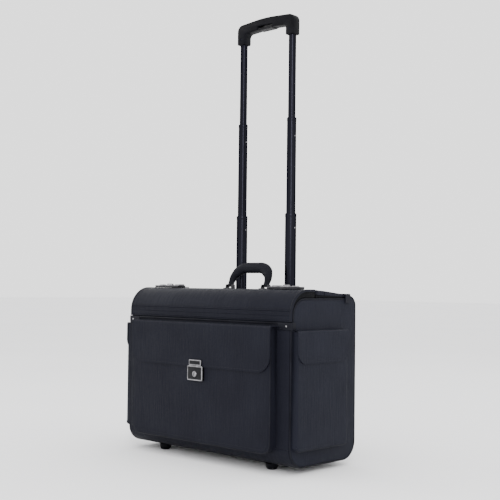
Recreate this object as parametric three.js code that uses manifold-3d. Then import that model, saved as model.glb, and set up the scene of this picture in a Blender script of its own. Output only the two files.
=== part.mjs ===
// Pilot's rolling flight case: a leatherette-covered box with a split top, two
// combination locks, a key-locked front pocket, an end pocket on each side, a carry
// handle, and a three-stage trolley handle that slides into the back.
// Millimetres. +X is the case's right end, +Y its back, +Z up. The outer group puts
// z = 0 on the floor and centres the case; inside it z = 0 is the underside of the box
// and y = 0 the middle of its depth.
import * as THREE from "three";
import { mergeVertices } from "three/addons/utils/BufferGeometryUtils.js";
import Module from "manifold-3d";

// ---------------------------------------------------------------- driving dimensions
const CASE_WIDTH = 482.6; // 19 inches across the lids
const CASE_DEPTH = 205; // the box itself, without its pocket and wheels
const CASE_HEIGHT = 347; // underside of the box to the edge of the lids
const WALL = 3; // covered board
const LINING_THICKNESS = 2.4;
const GAP = 0.3; // between touching pieces
const RUNNING = 0.4; // around a piece that moves

const BOTTOM_RADIUS = 38;
const REAR_TOP_RADIUS = 30;
const FLAP_RADIUS = 50;

const END_DROP = 16.5; // from the lids' edge down to the top of the end panels
const END_REAR_DROP = 11; // and to their raised rear corner
const END_THICKNESS = 3;
const END_ARC = 34;
const END_REAR_RADIUS = 22;
const END_STEP_FOOT = 1.4; // from the lid's hinge line back to the foot of the step
const END_STEP_TOP = 7.4; // and to its top
const END_STEP_RADIUS = 6;
const END_SHOULDER_DROP = 1; // below the front flap's hinge
const END_SHOULDER = 10; // height over which the end steps in below the front flap
const END_SHOULDER_RADIUS = 8;
const FLAP_RECESS = 1.5; // the end panels' edge behind the inside of the front flap
const PIPING = 3.4;
const PIPING_BEVEL = 1;

const FLAP_DROP = 63.5; // from the lids' edge down to the front flap's hinge
const FRONT_HINGE_PROUD = 2.3;
const HINGE_STRIP_HEIGHT = 3.5;
const FLAP_THICKNESS = 4;
const LID_SEAM_BACK = 73.4; // from the front of the box to where the two lids meet
const SEAM_GAP = 1;
const LID_THICKNESS = 10; // along its front edge
const LID_BACK_THICKNESS = 5;
const LID_FALL = 9; // from its front edge down to its hinge
const LID_CROWN = 3;
const TAB_LENGTH = 33;
const TAB_THICKNESS = 2;
const TAB_RETURN = 11; // how far a front tab wraps back along the end
const REAR_TAB_DEPTH = 16;
const REAR_TAB_LEAD = 4; // in front of the lid's hinge line
const REAR_TAB_DROP = 12; // below the piping
const REAR_TAB_RISE = 3.5; // above it

const POCKET_MARGIN = 36.3; // from each end of the case to the front pocket
const POCKET_DEPTH = 20;
const POCKET_BOTTOM = 28;
const POCKET_DROP = 7.5; // below the front flap's hinge
const POCKET_RADIUS = 20;
const POCKET_WALL = 2;
const POCKET_FLAP_LENGTH = 92;
const POCKET_FLAP_RADIUS = 35;
const POCKET_FLAP_THICKNESS = 2.5;
const POCKET_FLAP_LAP = 2; // the flap is this much wider than the pocket at each side

const KEY_LOCK_WIDTH = 45;
const KEY_LOCK_HEIGHT = 31;
const KEY_LOCK_DEPTH = 6;
const KEY_RADIUS = 6;
const KEY_PROUD = 1.5;
const KEY_DROP = 17.05; // from the lock's top edge to the middle of its cylinder
const KEY_SEAT = 2; // metal left behind the cylinder
const KEYWAY_WIDTH = 1.4;
const KEYWAY_HEIGHT = 8;
const KEY_LOCK_LAP = 2.5; // the lock's top edge above the flap's lower edge
const KEY_LOCK_RADIUS = 3;
const KEY_HASP_RADIUS = 2;
const KEY_HASP_WIDTH = 36;
const KEY_HASP_HEIGHT = 12;
const KEY_HASP_THICKNESS = 3;

const END_POCKET_FRONT_INSET = 4.5; // from the front of the box
const END_POCKET_BACK_INSET = 45.5; // from its back
const END_POCKET_DEPTH = 14;
const END_POCKET_BOTTOM = 36;
const END_POCKET_DROP = 15.5; // below the front flap's hinge
const END_POCKET_RADIUS = 8;
const END_FLAP_LENGTH = 65;
const END_FLAP_RADIUS = 26;
const END_FLAP_THICKNESS = 2;
const END_FLAP_LAP = 1; // the flap is this much wider than the pocket at each side

const LOCK_INSET = 65.8; // from the end of the case to a lock's middle
const LOCK_LENGTH = 77;
const LOCK_DEPTH = 24;
const LOCK_HEIGHT = 5.5;
const LOCK_FLOOR = 0.6;
const LOCK_TO_SEAM = 1; // from a lock's rear face to the flap's rear edge
const DIAL_RADIUS = 4.2;
const DIAL_WIDTH = 5;
const DIAL_COUNT = 3;
const SLIDE_LENGTH = 10;
const SLIDE_WIDTH = 12;
const SLIDE_PROUD = 2;
const SLIDE_TRAVEL = 5;
const SLIDE_PLACE = -25; // along the lock, towards the end of the case
const HASP_WIDTH = 18;
const HASP_LENGTH = 14;
const HASP_THICKNESS = 2.2;
const HASP_PLACE = 25; // along the lock, towards the middle of the case

const HANDLE_INSET = 40.6; // from the lid's hinge line to the handle's pins
const HANDLE_LEAN = 25; // degrees back from upright
const HANDLE_PLAY = 0.5; // between the handle and the columns that it swings between
const HANDLE_ARM = 15;
const HANDLE_TOP = 57.5;
const HANDLE_GRIP = 25;
const HANDLE_DEPTH = 17;
const HANDLE_INNER_RADIUS = 8;
const HANDLE_OUTER_RADIUS = 32;
const HANDLE_EYE = 5; // radius of the rounded end of each arm
const HANDLE_THINNING = 13; // the arms are as thin as their ends up to this height
const MOUNT_DEPTH = 24;
const MOUNT_PLATE = 2.4;
const MOUNT_EAR = 2;
const MOUNT_EAR_FOOT = 12;
const MOUNT_EAR_TIP = 8.8;
const MOUNT_EAR_RISE = 4; // above the pin's axis
const MOUNT_EAR_RADIUS = 3;
const PIN_RADIUS = 2;
const WELD = 0.5; // how far an ear runs into its plate

const TUBE_SPACING = 148.4; // between the trolley's two columns
const LOWER_RADIUS = 12.3;
const STAGE_PLAY = 0.4; // between the middle tube and the lower one around it
const UPPER_PLAY = 0.35;
const TUBE_WALL = 1.65;
const GUIDE_WALL = 1.2;
const LOWER_RISE = 165.8; // how far each stage shows when fully drawn out
const MIDDLE_RISE = 212;
const UPPER_RISE = 185.1; // up to the grip's sockets
const LOWER_HELD = 134.2; // and how much of it is left inside what holds it
const MIDDLE_HELD = 63;
const UPPER_HELD = 64.9;
const SOCKET_DEPTH = 18;
const BEAM_FRONT_HEIGHT = 9; // thin front edge of the curved beam behind the lid
const BEAM_TOP_FLAT = 0.5; // and the flat in front of its curve
const BEZEL_WALL = 3.2; // in front of the columns
const BEZEL_HALF_WIDTH = 98;
const BEZEL_PROUD = 2;
const BEZEL_RADIUS = 16;
const BEZEL_HEIGHT = 27;
const GRIP_WALL = 2.85; // beside a column's socket
const GRIP_FACE_WALL = 3.45; // in front of it and behind it
const GRIP_LEG_HEIGHT = 24;
const GRIP_BAR = 21;
const GRIP_ARCH = 6.5;
const GRIP_CORNER = 15;
const GRIP_ARCH_RADIUS = 350;
const GRIP_THROAT = 9; // inner radius between a leg and the bar
const GRIP_LEG_OUTER = 3; // edge radii at the foot of a leg
const GRIP_LEG_INNER = 2;
const GRIP_HAUNCH = 2; // the bar's underside above the top of the legs
const GRIP_NOTCH_LAND = 4; // flat beside the button's notch
const BUTTON_LENGTH = 43;
const BUTTON_HEIGHT = 5.5;
const BUTTON_PROUD = 1.5;
const BUTTON_TRAVEL = 3.5;
const BUTTON_INSET = 2; // from the grip's front and back faces

const FOOT_HEIGHT = 12.6;
const FOOT_RADIUS = 12.5;
const FOOT_SOLE = 7.5; // radius of the flat underneath
const FOOT_DOME_RADIUS = 11.25; // where the dome turns up from the sole
const FOOT_DOME_DROP = 8.82; // and how far that is below the box
const FOOT_SIDE_DROP = 4.41; // down to where the side turns in
const FOOT_END_INSET = 81.3;
const FOOT_FRONT_INSET = 39.5;
const WHEEL_RADIUS = 25;
const WHEEL_WIDTH = 20;
const WHEEL_END_INSET = 51.3;
const WHEEL_BACK_INSET = 18.5;
const WHEEL_RIM = 7; // from the tread in to the dished side
const WHEEL_SHOULDER = 2;
const TREAD_EDGE = 3;
const WHEEL_DISH = 1;
const WHEEL_SIDE_PLAY = 1.5;
const WHEEL_TREAD_PLAY = 2.5;
const AXLE_RADIUS = 3;
const WHEEL_HOUSING_WALL = 2.5;
const WHEEL_HOUSING_ROOF = 4.1;

const ROUND = 24; // sides of a turned piece
const ARC = 4; // half the steps of a drawn arc
const PAST = 5; // how far a cutting block runs past what it cuts

// ---------------------------------------------------------------- places worked out
const HALF_WIDTH = CASE_WIDTH / 2;
const HALF_DEPTH = CASE_DEPTH / 2;
const PANEL_HALF_WIDTH = HALF_WIDTH - END_THICKNESS - GAP;
const END_TOP = CASE_HEIGHT - END_DROP;
const END_REAR_TOP = CASE_HEIGHT - END_REAR_DROP;
const REAR_TOP = CASE_HEIGHT - LID_FALL;
const REAR_FOOT = REAR_TOP - REAR_TOP_RADIUS; // where the back board ends and the beam starts
const FRONT_HINGE_HEIGHT = CASE_HEIGHT - FLAP_DROP;
const LID_SEAM = -HALF_DEPTH + LID_SEAM_BACK;
const POCKET_WIDTH = CASE_WIDTH - 2 * POCKET_MARGIN;
const POCKET_TOP = FRONT_HINGE_HEIGHT - POCKET_DROP;
const POCKET_FLAP_EDGE = POCKET_TOP - POCKET_FLAP_LENGTH;
const END_POCKET_FRONT = -HALF_DEPTH + END_POCKET_FRONT_INSET;
const END_POCKET_BACK = HALF_DEPTH - END_POCKET_BACK_INSET;
const END_POCKET_TOP = FRONT_HINGE_HEIGHT - END_POCKET_DROP;
const END_FLAP_EDGE = END_POCKET_TOP - END_FLAP_LENGTH;
const LOCK_CENTRE = HALF_WIDTH - LOCK_INSET;
const LOWER_TOP = CASE_HEIGHT + LOWER_RISE;
const MIDDLE_TOP = LOWER_TOP + MIDDLE_RISE;
const UPPER_TOP = MIDDLE_TOP + UPPER_RISE; // underside of the grip's sockets
const FOOT_X = HALF_WIDTH - FOOT_END_INSET;
const FOOT_Y = -HALF_DEPTH + FOOT_FRONT_INSET;
const WHEEL_X = HALF_WIDTH - WHEEL_END_INSET;
const WHEEL_Y = HALF_DEPTH - WHEEL_BACK_INSET;
const WHEEL_Z = WHEEL_RADIUS - FOOT_HEIGHT;
const WHEEL_ROOM = WHEEL_RADIUS + WHEEL_TREAD_PLAY;
const WHEEL_HOUSING_HEIGHT = WHEEL_Z + WHEEL_ROOM + WHEEL_HOUSING_ROOF;
const WHEEL_HOUSING_FRONT = WHEEL_Y - WHEEL_ROOM - WHEEL_HOUSING_WALL;
// The columns run in guides against the back wall; the lining, lid and handle follow them.
const COLUMN_BORE = LOWER_RADIUS + RUNNING;
const GUIDE_RADIUS = COLUMN_BORE + GUIDE_WALL;
const TUBE_X = TUBE_SPACING / 2;
const TUBE_Y = HALF_DEPTH - WALL - GAP - GUIDE_RADIUS;
const MIDDLE_RADIUS = LOWER_RADIUS - TUBE_WALL - STAGE_PLAY;
const UPPER_RADIUS = MIDDLE_RADIUS - TUBE_WALL - UPPER_PLAY;
const GRIP_LEG = 2 * (UPPER_RADIUS + GAP + GRIP_WALL);
const GRIP_DEPTH = 2 * (UPPER_RADIUS + GAP + GRIP_FACE_WALL);
const LINING_BACK = TUBE_Y - GUIDE_RADIUS - GAP;
const BEAM_FRONT = TUBE_Y - COLUMN_BORE - BEZEL_WALL;
const LID_HINGE = BEAM_FRONT - 2 * RUNNING;
const HANDLE_PIVOT_Y = LID_HINGE - HANDLE_INSET;
const HANDLE_HALF_WIDTH = TUBE_X - LOWER_RADIUS - HANDLE_PLAY;
const FRONT_HINGE_Y = -HALF_DEPTH - FRONT_HINGE_PROUD;
const POCKET_FRONT = -HALF_DEPTH - POCKET_DEPTH;
const FLAP_FRONT = POCKET_FRONT - GAP - POCKET_FLAP_THICKNESS;
const KEY_LOCK_FRONT = POCKET_FRONT - GAP - KEY_LOCK_DEPTH;
const CASE_FRONT = KEY_LOCK_FRONT - KEY_PROUD;
const CASE_BACK = Math.max(HALF_DEPTH, WHEEL_Y + WHEEL_RADIUS);
const BEZEL_TOP = REAR_TOP + BEZEL_PROUD;
const BEZEL_BOTTOM = BEZEL_TOP - BEZEL_HEIGHT;
const PIPING_FACE = PANEL_HALF_WIDTH + GAP + PIPING; // the outermost x of the piping

// ---------------------------------------------------------------- finishes
const finish = (color, roughness, metalness = 0) =>
  () => new THREE.MeshStandardMaterial({ color, roughness, metalness });
const leatherette = finish(0x25262c, 0.5);
const edging = finish(0x2f3138, 0.4);
const lining = finish(0x1c1c20, 0.9);
const plastic = finish(0x16161b, 0.55);
const tubeBlack = finish(0x141418, 0.25, 0.6);
const nickel = finish(0x8a878a, 0.3, 1);
const darkMetal = finish(0x3a393d, 0.35, 1);
const rubber = finish(0x101012, 0.85);

// ---------------------------------------------------------------- shape helpers
const wasm = await Module();
wasm.setup();

function solid(geometry) {
  const bare = geometry.index ? geometry.clone() : geometry;
  bare.deleteAttribute("normal");
  bare.deleteAttribute("uv");
  const merged = mergeVertices(bare, 1e-4);
  return new wasm.Manifold(new wasm.Mesh({
    numProp: 3,
    vertProperties: merged.attributes.position.array,
    triVerts: merged.index.array,
  }));
}

function shell(manifold) {
  const mesh = manifold.getMesh();
  const geometry = new THREE.BufferGeometry();
  geometry.setAttribute("position", new THREE.BufferAttribute(mesh.vertProperties, 3));
  geometry.setIndex(new THREE.BufferAttribute(mesh.triVerts, 1));
  geometry.computeVertexNormals();
  return geometry;
}

const join = (first, ...rest) =>
  shell(rest.reduce((whole, extra) => whole.add(solid(extra)), solid(first)));
const cut = (first, ...rest) =>
  shell(rest.reduce((whole, tool) => whole.subtract(solid(tool)), solid(first)));
const overlap = (first, second) => shell(solid(first).intersect(solid(second)));

// A block between two opposite corners.
function block(x0, x1, y0, y1, z0, z1) {
  const geometry = new THREE.BoxGeometry(x1 - x0, y1 - y0, z1 - z0);
  return geometry.translate((x0 + x1) / 2, (y0 + y1) / 2, (z0 + z1) / 2);
}

// A flat outline through corners [across, up, radius], listed anticlockwise.
function outline(corners) {
  const shape = new THREE.Shape();
  corners.forEach(([x, y, radius], i) => {
    const corner = new THREE.Vector2(x, y);
    if (!radius) {
      if (i) shape.lineTo(x, y);
      else shape.moveTo(x, y);
      return;
    }
    const before = corners[(i + corners.length - 1) % corners.length];
    const after = corners[(i + 1) % corners.length];
    const back = new THREE.Vector2(before[0] - x, before[1] - y).normalize();
    const on = new THREE.Vector2(after[0] - x, after[1] - y).normalize();
    const half = Math.acos(back.dot(on)) / 2;
    const start = corner.clone().addScaledVector(back, radius / Math.tan(half));
    const end = corner.clone().addScaledVector(on, radius / Math.tan(half));
    const middle = back.clone().add(on).normalize();
    const centre = corner.clone().addScaledVector(middle, radius / Math.sin(half));
    const turn = start.clone().sub(centre).angle();
    const stop = end.clone().sub(centre).angle();
    if (i) shape.lineTo(start.x, start.y);
    else shape.moveTo(start.x, start.y);
    shape.absarc(centre.x, centre.y, radius, turn, stop, back.cross(on) > 0);
  });
  shape.closePath();
  return shape;
}

// The same corners moved inwards by a distance, with their radii to match.
function inset(corners, distance) {
  return corners.map(([x, y, radius], i) => {
    const before = corners[(i + corners.length - 1) % corners.length];
    const after = corners[(i + 1) % corners.length];
    const arrive = new THREE.Vector2(x - before[0], y - before[1]).normalize();
    const leave = new THREE.Vector2(after[0] - x, after[1] - y).normalize();
    const share = distance / (1 + arrive.dot(leave));
    const grow = arrive.cross(leave) < 0 ? distance : -distance;
    return [
      x - (arrive.y + leave.y) * share,
      y + (arrive.x + leave.x) * share,
      radius ? Math.max(radius + grow, 0.5) : 0,
    ];
  });
}

// Extrusions along each axis, of shapes drawn as (y, z), (x, z) and (x, y).
function alongX(shape, x0, x1, bevel = 0) {
  const depth = x1 - x0 - 2 * bevel;
  const geometry = extrude(shape, depth, bevel);
  const turn = new THREE.Matrix4().makeBasis(
    new THREE.Vector3(0, 1, 0), new THREE.Vector3(0, 0, 1), new THREE.Vector3(1, 0, 0));
  return geometry.applyMatrix4(turn).translate(x0 + bevel, 0, 0);
}

function alongY(shape, y0, y1, bevel = 0) {
  const depth = y1 - y0 - 2 * bevel;
  return extrude(shape, depth, bevel).rotateX(Math.PI / 2).translate(0, y1 - bevel, 0);
}

function extrude(shape, depth, bevel) {
  return new THREE.ExtrudeGeometry(shape, {
    depth,
    curveSegments: ARC,
    bevelEnabled: bevel > 0,
    bevelSize: bevel,
    bevelThickness: bevel,
    bevelSegments: 1,
  });
}

// Turned pieces: a ring or disc about an axis, from one end to the other.
function turned(profile, axis) {
  const points = profile.map(([radius, along]) => new THREE.Vector2(radius, along));
  const geometry = new THREE.LatheGeometry(points, ROUND);
  if (axis === "z") geometry.rotateX(Math.PI / 2);
  if (axis === "x") geometry.rotateZ(-Math.PI / 2);
  return geometry;
}
const rod = (radius, from, to, axis) =>
  turned([[0, from], [radius, from], [radius, to], [0, to]], axis);
const pipe = (outer, inner, from, to, axis) => turned(
  [[inner, from], [outer, from], [outer, to], [inner, to], [inner, from]], axis);

const model = new THREE.Group();
model.position.set(0, -(CASE_FRONT + CASE_BACK) / 2, FOOT_HEIGHT);

function piece(group, name, geometry, material, x = 0, y = 0, z = 0) {
  const mesh = new THREE.Mesh(geometry, material());
  mesh.name = name;
  mesh.position.set(x, y, z);
  group.add(mesh);
  return mesh;
}

const sides = [["left", -1], ["right", 1]];

// A stretch of x from near the middle to further out, on either side of the case.
const span = (side, from, to) => (side > 0 ? [from, to] : [-to, -from]);

// ---------------------------------------------------------------- the box
// Four boards are wrapped between two end panels. Their outlines share this profile.
const bodyCorners = [
  [-HALF_DEPTH, 0, BOTTOM_RADIUS],
  [HALF_DEPTH, 0, BOTTOM_RADIUS],
  [HALF_DEPTH, REAR_TOP, REAR_TOP_RADIUS],
  [-HALF_DEPTH, REAR_TOP, FLAP_RADIUS],
];

// The end panels stop below the lids, and step in behind the front flap.
const FLAP_STEP = FLAP_THICKNESS + FLAP_RECESS;
const END_SHOULDER_TOP = FRONT_HINGE_HEIGHT - END_SHOULDER_DROP;
const endCorners = [
  [-HALF_DEPTH, 0, BOTTOM_RADIUS],
  [HALF_DEPTH, 0, BOTTOM_RADIUS],
  [HALF_DEPTH, END_REAR_TOP, END_REAR_RADIUS],
  [LID_HINGE + END_STEP_TOP, END_REAR_TOP, END_STEP_RADIUS],
  [LID_HINGE + END_STEP_FOOT, END_TOP, END_STEP_RADIUS],
  [-HALF_DEPTH + FLAP_STEP, END_TOP, END_ARC],
  [-HALF_DEPTH + FLAP_STEP, END_SHOULDER_TOP, END_SHOULDER_RADIUS],
  [-HALF_DEPTH, END_SHOULDER_TOP - END_SHOULDER, END_SHOULDER_RADIUS],
];

const housingInner = WHEEL_WIDTH / 2 + WHEEL_SIDE_PLAY;
const housingOuter = housingInner + WHEEL_HOUSING_WALL;

// The room that a wheel housing takes in the boards around it.
function housingRoom(side) {
  const x = side * WHEEL_X;
  const reach = housingOuter + GAP;
  return block(x - reach, x + reach, WHEEL_HOUSING_FRONT - GAP, HALF_DEPTH + PAST,
    -PAST, WHEEL_HOUSING_HEIGHT + GAP);
}

function addBox() {
  const front = block(-PANEL_HALF_WIDTH, PANEL_HALF_WIDTH, -HALF_DEPTH, -HALF_DEPTH + WALL,
    BOTTOM_RADIUS + GAP, FRONT_HINGE_HEIGHT - GAP);
  piece(model, "front_panel", front, leatherette);

  const trayCorners = [
    [-HALF_DEPTH, BOTTOM_RADIUS, 0],
    [-HALF_DEPTH, 0, BOTTOM_RADIUS],
    [HALF_DEPTH, 0, BOTTOM_RADIUS],
    [HALF_DEPTH, BOTTOM_RADIUS, 0],
    [HALF_DEPTH - WALL, BOTTOM_RADIUS, 0],
    [HALF_DEPTH - WALL, WALL, BOTTOM_RADIUS - WALL],
    [-HALF_DEPTH + WALL, WALL, BOTTOM_RADIUS - WALL],
    [-HALF_DEPTH + WALL, BOTTOM_RADIUS, 0],
  ];
  const tray = alongX(outline(trayCorners), -PANEL_HALF_WIDTH, PANEL_HALF_WIDTH);
  piece(model, "bottom_tray", cut(tray, housingRoom(-1), housingRoom(1)), leatherette);

  const back = block(-PANEL_HALF_WIDTH, PANEL_HALF_WIDTH, HALF_DEPTH - WALL, HALF_DEPTH,
    BOTTOM_RADIUS + GAP, REAR_FOOT - GAP);
  piece(model, "back_panel", cut(back, housingRoom(-1), housingRoom(1)), leatherette);

  // The lining closes off the space at the back where the trolley's columns run.
  const curve = BOTTOM_RADIUS - WALL;
  const alongCurve = LINING_BACK - (HALF_DEPTH - BOTTOM_RADIUS);
  const floor = BOTTOM_RADIUS - Math.sqrt(curve * curve - alongCurve * alongCurve) + 2 * GAP;
  const board = block(-PANEL_HALF_WIDTH + 1, PANEL_HALF_WIDTH - 1,
    LINING_BACK - LINING_THICKNESS, LINING_BACK, floor, BEZEL_BOTTOM - GAP);
  piece(model, "back_lining", cut(board, housingRoom(-1), housingRoom(1)), lining);

  const panelOutline = outline(inset(endCorners, PIPING + GAP));
  const ring = inset(endCorners, PIPING_BEVEL);
  for (const [name, side] of sides) {
    const x = side * (HALF_WIDTH - END_THICKNESS / 2);
    const panel = alongX(panelOutline, -END_THICKNESS / 2, END_THICKNESS / 2);
    piece(model, `${name}_end_panel`, panel, leatherette, x);
    const bead = outline(ring);
    bead.holes.push(outline(inset(ring, PIPING - 2 * PIPING_BEVEL)));
    const piping = alongX(bead, -PIPING / 2, PIPING / 2, PIPING_BEVEL);
    piece(model, `${name}_piping`, piping, edging, side * (PANEL_HALF_WIDTH + GAP + PIPING / 2));
  }
}

// ---------------------------------------------------------------- rear top and trolley
function addRearBeam() {
  const curve = Math.min(REAR_TOP_RADIUS, HALF_DEPTH - BEAM_FRONT) - BEAM_TOP_FLAT;
  const beamCorners = [
    [HALF_DEPTH - WALL, REAR_FOOT, 0],
    [HALF_DEPTH, REAR_FOOT, 0],
    [HALF_DEPTH, REAR_TOP, curve],
    [BEAM_FRONT, REAR_TOP, 0],
    [BEAM_FRONT, REAR_TOP - BEAM_FRONT_HEIGHT, 0],
  ];
  const inner = BEZEL_HALF_WIDTH + GAP;
  for (const [name, side] of sides) {
    const beam = alongX(outline(beamCorners),
      -(PANEL_HALF_WIDTH - inner) / 2, (PANEL_HALF_WIDTH - inner) / 2);
    piece(model, `${name}_rear_beam`, beam, leatherette, side * (PANEL_HALF_WIDTH + inner) / 2);
  }

  // The bezel is the plastic block that the columns slide out through.
  const bezelCorners = [
    [BEAM_FRONT, BEZEL_BOTTOM, 0],
    [HALF_DEPTH - WALL - GAP, BEZEL_BOTTOM, 0],
    [HALF_DEPTH - WALL - GAP, REAR_FOOT + GAP, 0],
    [HALF_DEPTH, REAR_FOOT + GAP, 0],
    [HALF_DEPTH, BEZEL_TOP, BEZEL_RADIUS],
    [BEAM_FRONT, BEZEL_TOP, 1],
  ];
  const bezelBlock = alongX(outline(bezelCorners), -BEZEL_HALF_WIDTH, BEZEL_HALF_WIDTH);
  const bores = sides.map(([, side]) =>
    rod(COLUMN_BORE, BEZEL_BOTTOM - 1, BEZEL_TOP + 1, "z").translate(side * TUBE_X, TUBE_Y, 0));
  piece(model, "trolley_bezel", cut(bezelBlock, ...bores), plastic);

  for (const [name, side] of sides) {
    const guide = pipe(GUIDE_RADIUS, COLUMN_BORE, BOTTOM_RADIUS + 2 * GAP, BEZEL_BOTTOM - GAP, "z");
    piece(model, `${name}_guide_tube`, guide, tubeBlack, side * TUBE_X, TUBE_Y);
  }
}

// Each stage is a pair of tubes; the top one carries the grip.
function addTrolley() {
  const stages = [
    ["lower", LOWER_RADIUS, CASE_HEIGHT - LOWER_HELD, LOWER_TOP],
    ["middle", MIDDLE_RADIUS, LOWER_TOP - MIDDLE_HELD, MIDDLE_TOP],
    ["upper", UPPER_RADIUS, MIDDLE_TOP - UPPER_HELD, UPPER_TOP + SOCKET_DEPTH],
  ];
  for (const [stage, radius, from, to] of stages) {
    const group = new THREE.Group();
    model.add(group);
    for (const [name, side] of sides) {
      const tube = pipe(radius, radius - TUBE_WALL, 0, to - from, "z");
      piece(group, `${name}_${stage}_tube`, tube, tubeBlack, side * TUBE_X, TUBE_Y, from);
    }
  }

  const inner = TUBE_X - GRIP_LEG / 2;
  const outer = TUBE_X + GRIP_LEG / 2;
  const barTop = GRIP_LEG_HEIGHT + GRIP_BAR;
  const underside = GRIP_LEG_HEIGHT + GRIP_HAUNCH;
  const notch = BUTTON_LENGTH / 2 + 2 * GAP;
  const notchTop = underside - BUTTON_PROUD + BUTTON_HEIGHT + BUTTON_TRAVEL + 2 * GAP;
  const gripCorners = [
    [-outer, 0, GRIP_LEG_OUTER],
    [-inner, 0, GRIP_LEG_INNER],
    [-inner, GRIP_LEG_HEIGHT, GRIP_THROAT],
    [-notch - GRIP_NOTCH_LAND, underside, 0],
    [-notch, underside, 0],
    [-notch, notchTop, 0],
    [notch, notchTop, 0],
    [notch, underside, 0],
    [notch + GRIP_NOTCH_LAND, underside, 0],
    [inner, GRIP_LEG_HEIGHT, GRIP_THROAT],
    [inner, 0, GRIP_LEG_INNER],
    [outer, 0, GRIP_LEG_OUTER],
    [outer, barTop, GRIP_CORNER],
    [0, barTop + GRIP_ARCH, GRIP_ARCH_RADIUS],
    [-outer, barTop, GRIP_CORNER],
  ];
  const handle = new THREE.Group();
  handle.position.set(0, TUBE_Y, UPPER_TOP);
  model.add(handle);
  const bar = alongY(outline(gripCorners), -GRIP_DEPTH / 2, GRIP_DEPTH / 2);
  const sockets = sides.map(([, side]) =>
    rod(UPPER_RADIUS + GAP, -PAST, SOCKET_DEPTH + GAP, "z").translate(side * TUBE_X, 0, 0));
  piece(handle, "trolley_grip", cut(bar, ...sockets), plastic);
  const button = block(-BUTTON_LENGTH / 2, BUTTON_LENGTH / 2,
    -GRIP_DEPTH / 2 + BUTTON_INSET, GRIP_DEPTH / 2 - BUTTON_INSET, 0, BUTTON_HEIGHT);
  piece(handle, "release_button", button, plastic, 0, 0, underside - BUTTON_PROUD);
}

// ---------------------------------------------------------------- lids
function addFrontFlap() {
  const edge = FRONT_HINGE_HEIGHT + GAP;
  const rear = LID_SEAM - SEAM_GAP / 2;
  const flapCorners = [
    [-HALF_DEPTH, edge, 0],
    [-HALF_DEPTH + FLAP_THICKNESS, edge, 0],
    [-HALF_DEPTH + FLAP_THICKNESS, CASE_HEIGHT - FLAP_THICKNESS, FLAP_RADIUS - FLAP_THICKNESS],
    [rear, CASE_HEIGHT - FLAP_THICKNESS, 0],
    [rear, CASE_HEIGHT, 0],
    [-HALF_DEPTH, CASE_HEIGHT, FLAP_RADIUS],
  ];
  const flap = new THREE.Group();
  model.add(flap);
  piece(flap, "front_flap", alongX(outline(flapCorners), -HALF_WIDTH, HALF_WIDTH), leatherette);
  for (const [name, side] of sides) addCombinationLock(flap, name, side, rear - LOCK_TO_SEAM);

  // A strip covers the sewn joint, and a riveted tab wraps each of its ends.
  const stripHalf = HALF_WIDTH - TAB_LENGTH - GAP;
  const top = FRONT_HINGE_HEIGHT - GAP;
  const strip = block(-stripHalf, stripHalf, FRONT_HINGE_Y + GAP, -HALF_DEPTH - GAP,
    top - HINGE_STRIP_HEIGHT, top);
  piece(model, "front_hinge_strip", strip, edging);
  const wrap = PIPING_FACE + GAP + TAB_THICKNESS;
  const tabBottom = END_POCKET_TOP + 2 * GAP;
  const onFace = FRONT_HINGE_Y + GAP;
  for (const [name, side] of sides) {
    const tab = join(
      block(...span(side, HALF_WIDTH - TAB_LENGTH, wrap), onFace, -HALF_DEPTH - GAP,
        tabBottom, top),
      block(...span(side, PIPING_FACE + GAP, wrap), onFace, -HALF_DEPTH + TAB_RETURN,
        tabBottom, top),
    );
    piece(model, `${name}_front_tab`, tab, edging);
  }
}

function addCombinationLock(group, name, side, rear) {
  const lock = new THREE.Group();
  lock.position.set(side * LOCK_CENTRE, rear - LOCK_DEPTH / 2, CASE_HEIGHT + GAP);
  group.add(lock);
  const toMiddle = -side; // the lock's own direction towards the middle of the case
  const pitch = DIAL_WIDTH + RUNNING;
  const well = DIAL_COUNT * pitch / 2 + RUNNING;
  const slideX = toMiddle * SLIDE_PLACE;
  const slot = SLIDE_LENGTH / 2 + RUNNING;
  const slotEnds = [slideX - slot, slideX + slot];
  slotEnds[side < 0 ? 0 : 1] += side * SLIDE_TRAVEL;
  const base = cut(
    block(-LOCK_LENGTH / 2, LOCK_LENGTH / 2, -LOCK_DEPTH / 2, LOCK_DEPTH / 2, 0, LOCK_HEIGHT),
    block(-well, well, -DIAL_RADIUS - RUNNING, DIAL_RADIUS + RUNNING, LOCK_FLOOR, LOCK_HEIGHT + 1),
    block(...slotEnds, -SLIDE_WIDTH / 2 - RUNNING, SLIDE_WIDTH / 2 + RUNNING,
      LOCK_FLOOR, LOCK_HEIGHT + 1),
  );
  piece(lock, `${name}_lock_base`, base, darkMetal);
  const dialZ = LOCK_FLOOR + RUNNING + DIAL_RADIUS;
  for (let n = 0; n < DIAL_COUNT; n += 1) {
    const dial = rod(DIAL_RADIUS, -DIAL_WIDTH / 2, DIAL_WIDTH / 2, "x");
    const x = (n - (DIAL_COUNT - 1) / 2) * pitch;
    piece(lock, `${name}_lock_dial_${n + 1}`, dial, nickel, x, 0, dialZ);
  }
  const slide = block(-SLIDE_LENGTH / 2, SLIDE_LENGTH / 2, -SLIDE_WIDTH / 2, SLIDE_WIDTH / 2,
    LOCK_FLOOR + GAP, LOCK_HEIGHT + SLIDE_PROUD);
  piece(lock, `${name}_lock_slide`, slide, nickel, slideX);
}

// The height of the crowned lid at a depth y. It falls from its front edge to its hinge.
function lidTop(y) {
  const front = LID_SEAM + SEAM_GAP / 2;
  const back = LID_HINGE - GAP;
  const share = (y - front) / (back - front);
  return CASE_HEIGHT - LID_FALL * share + 4 * LID_CROWN * share * (1 - share);
}

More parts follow.
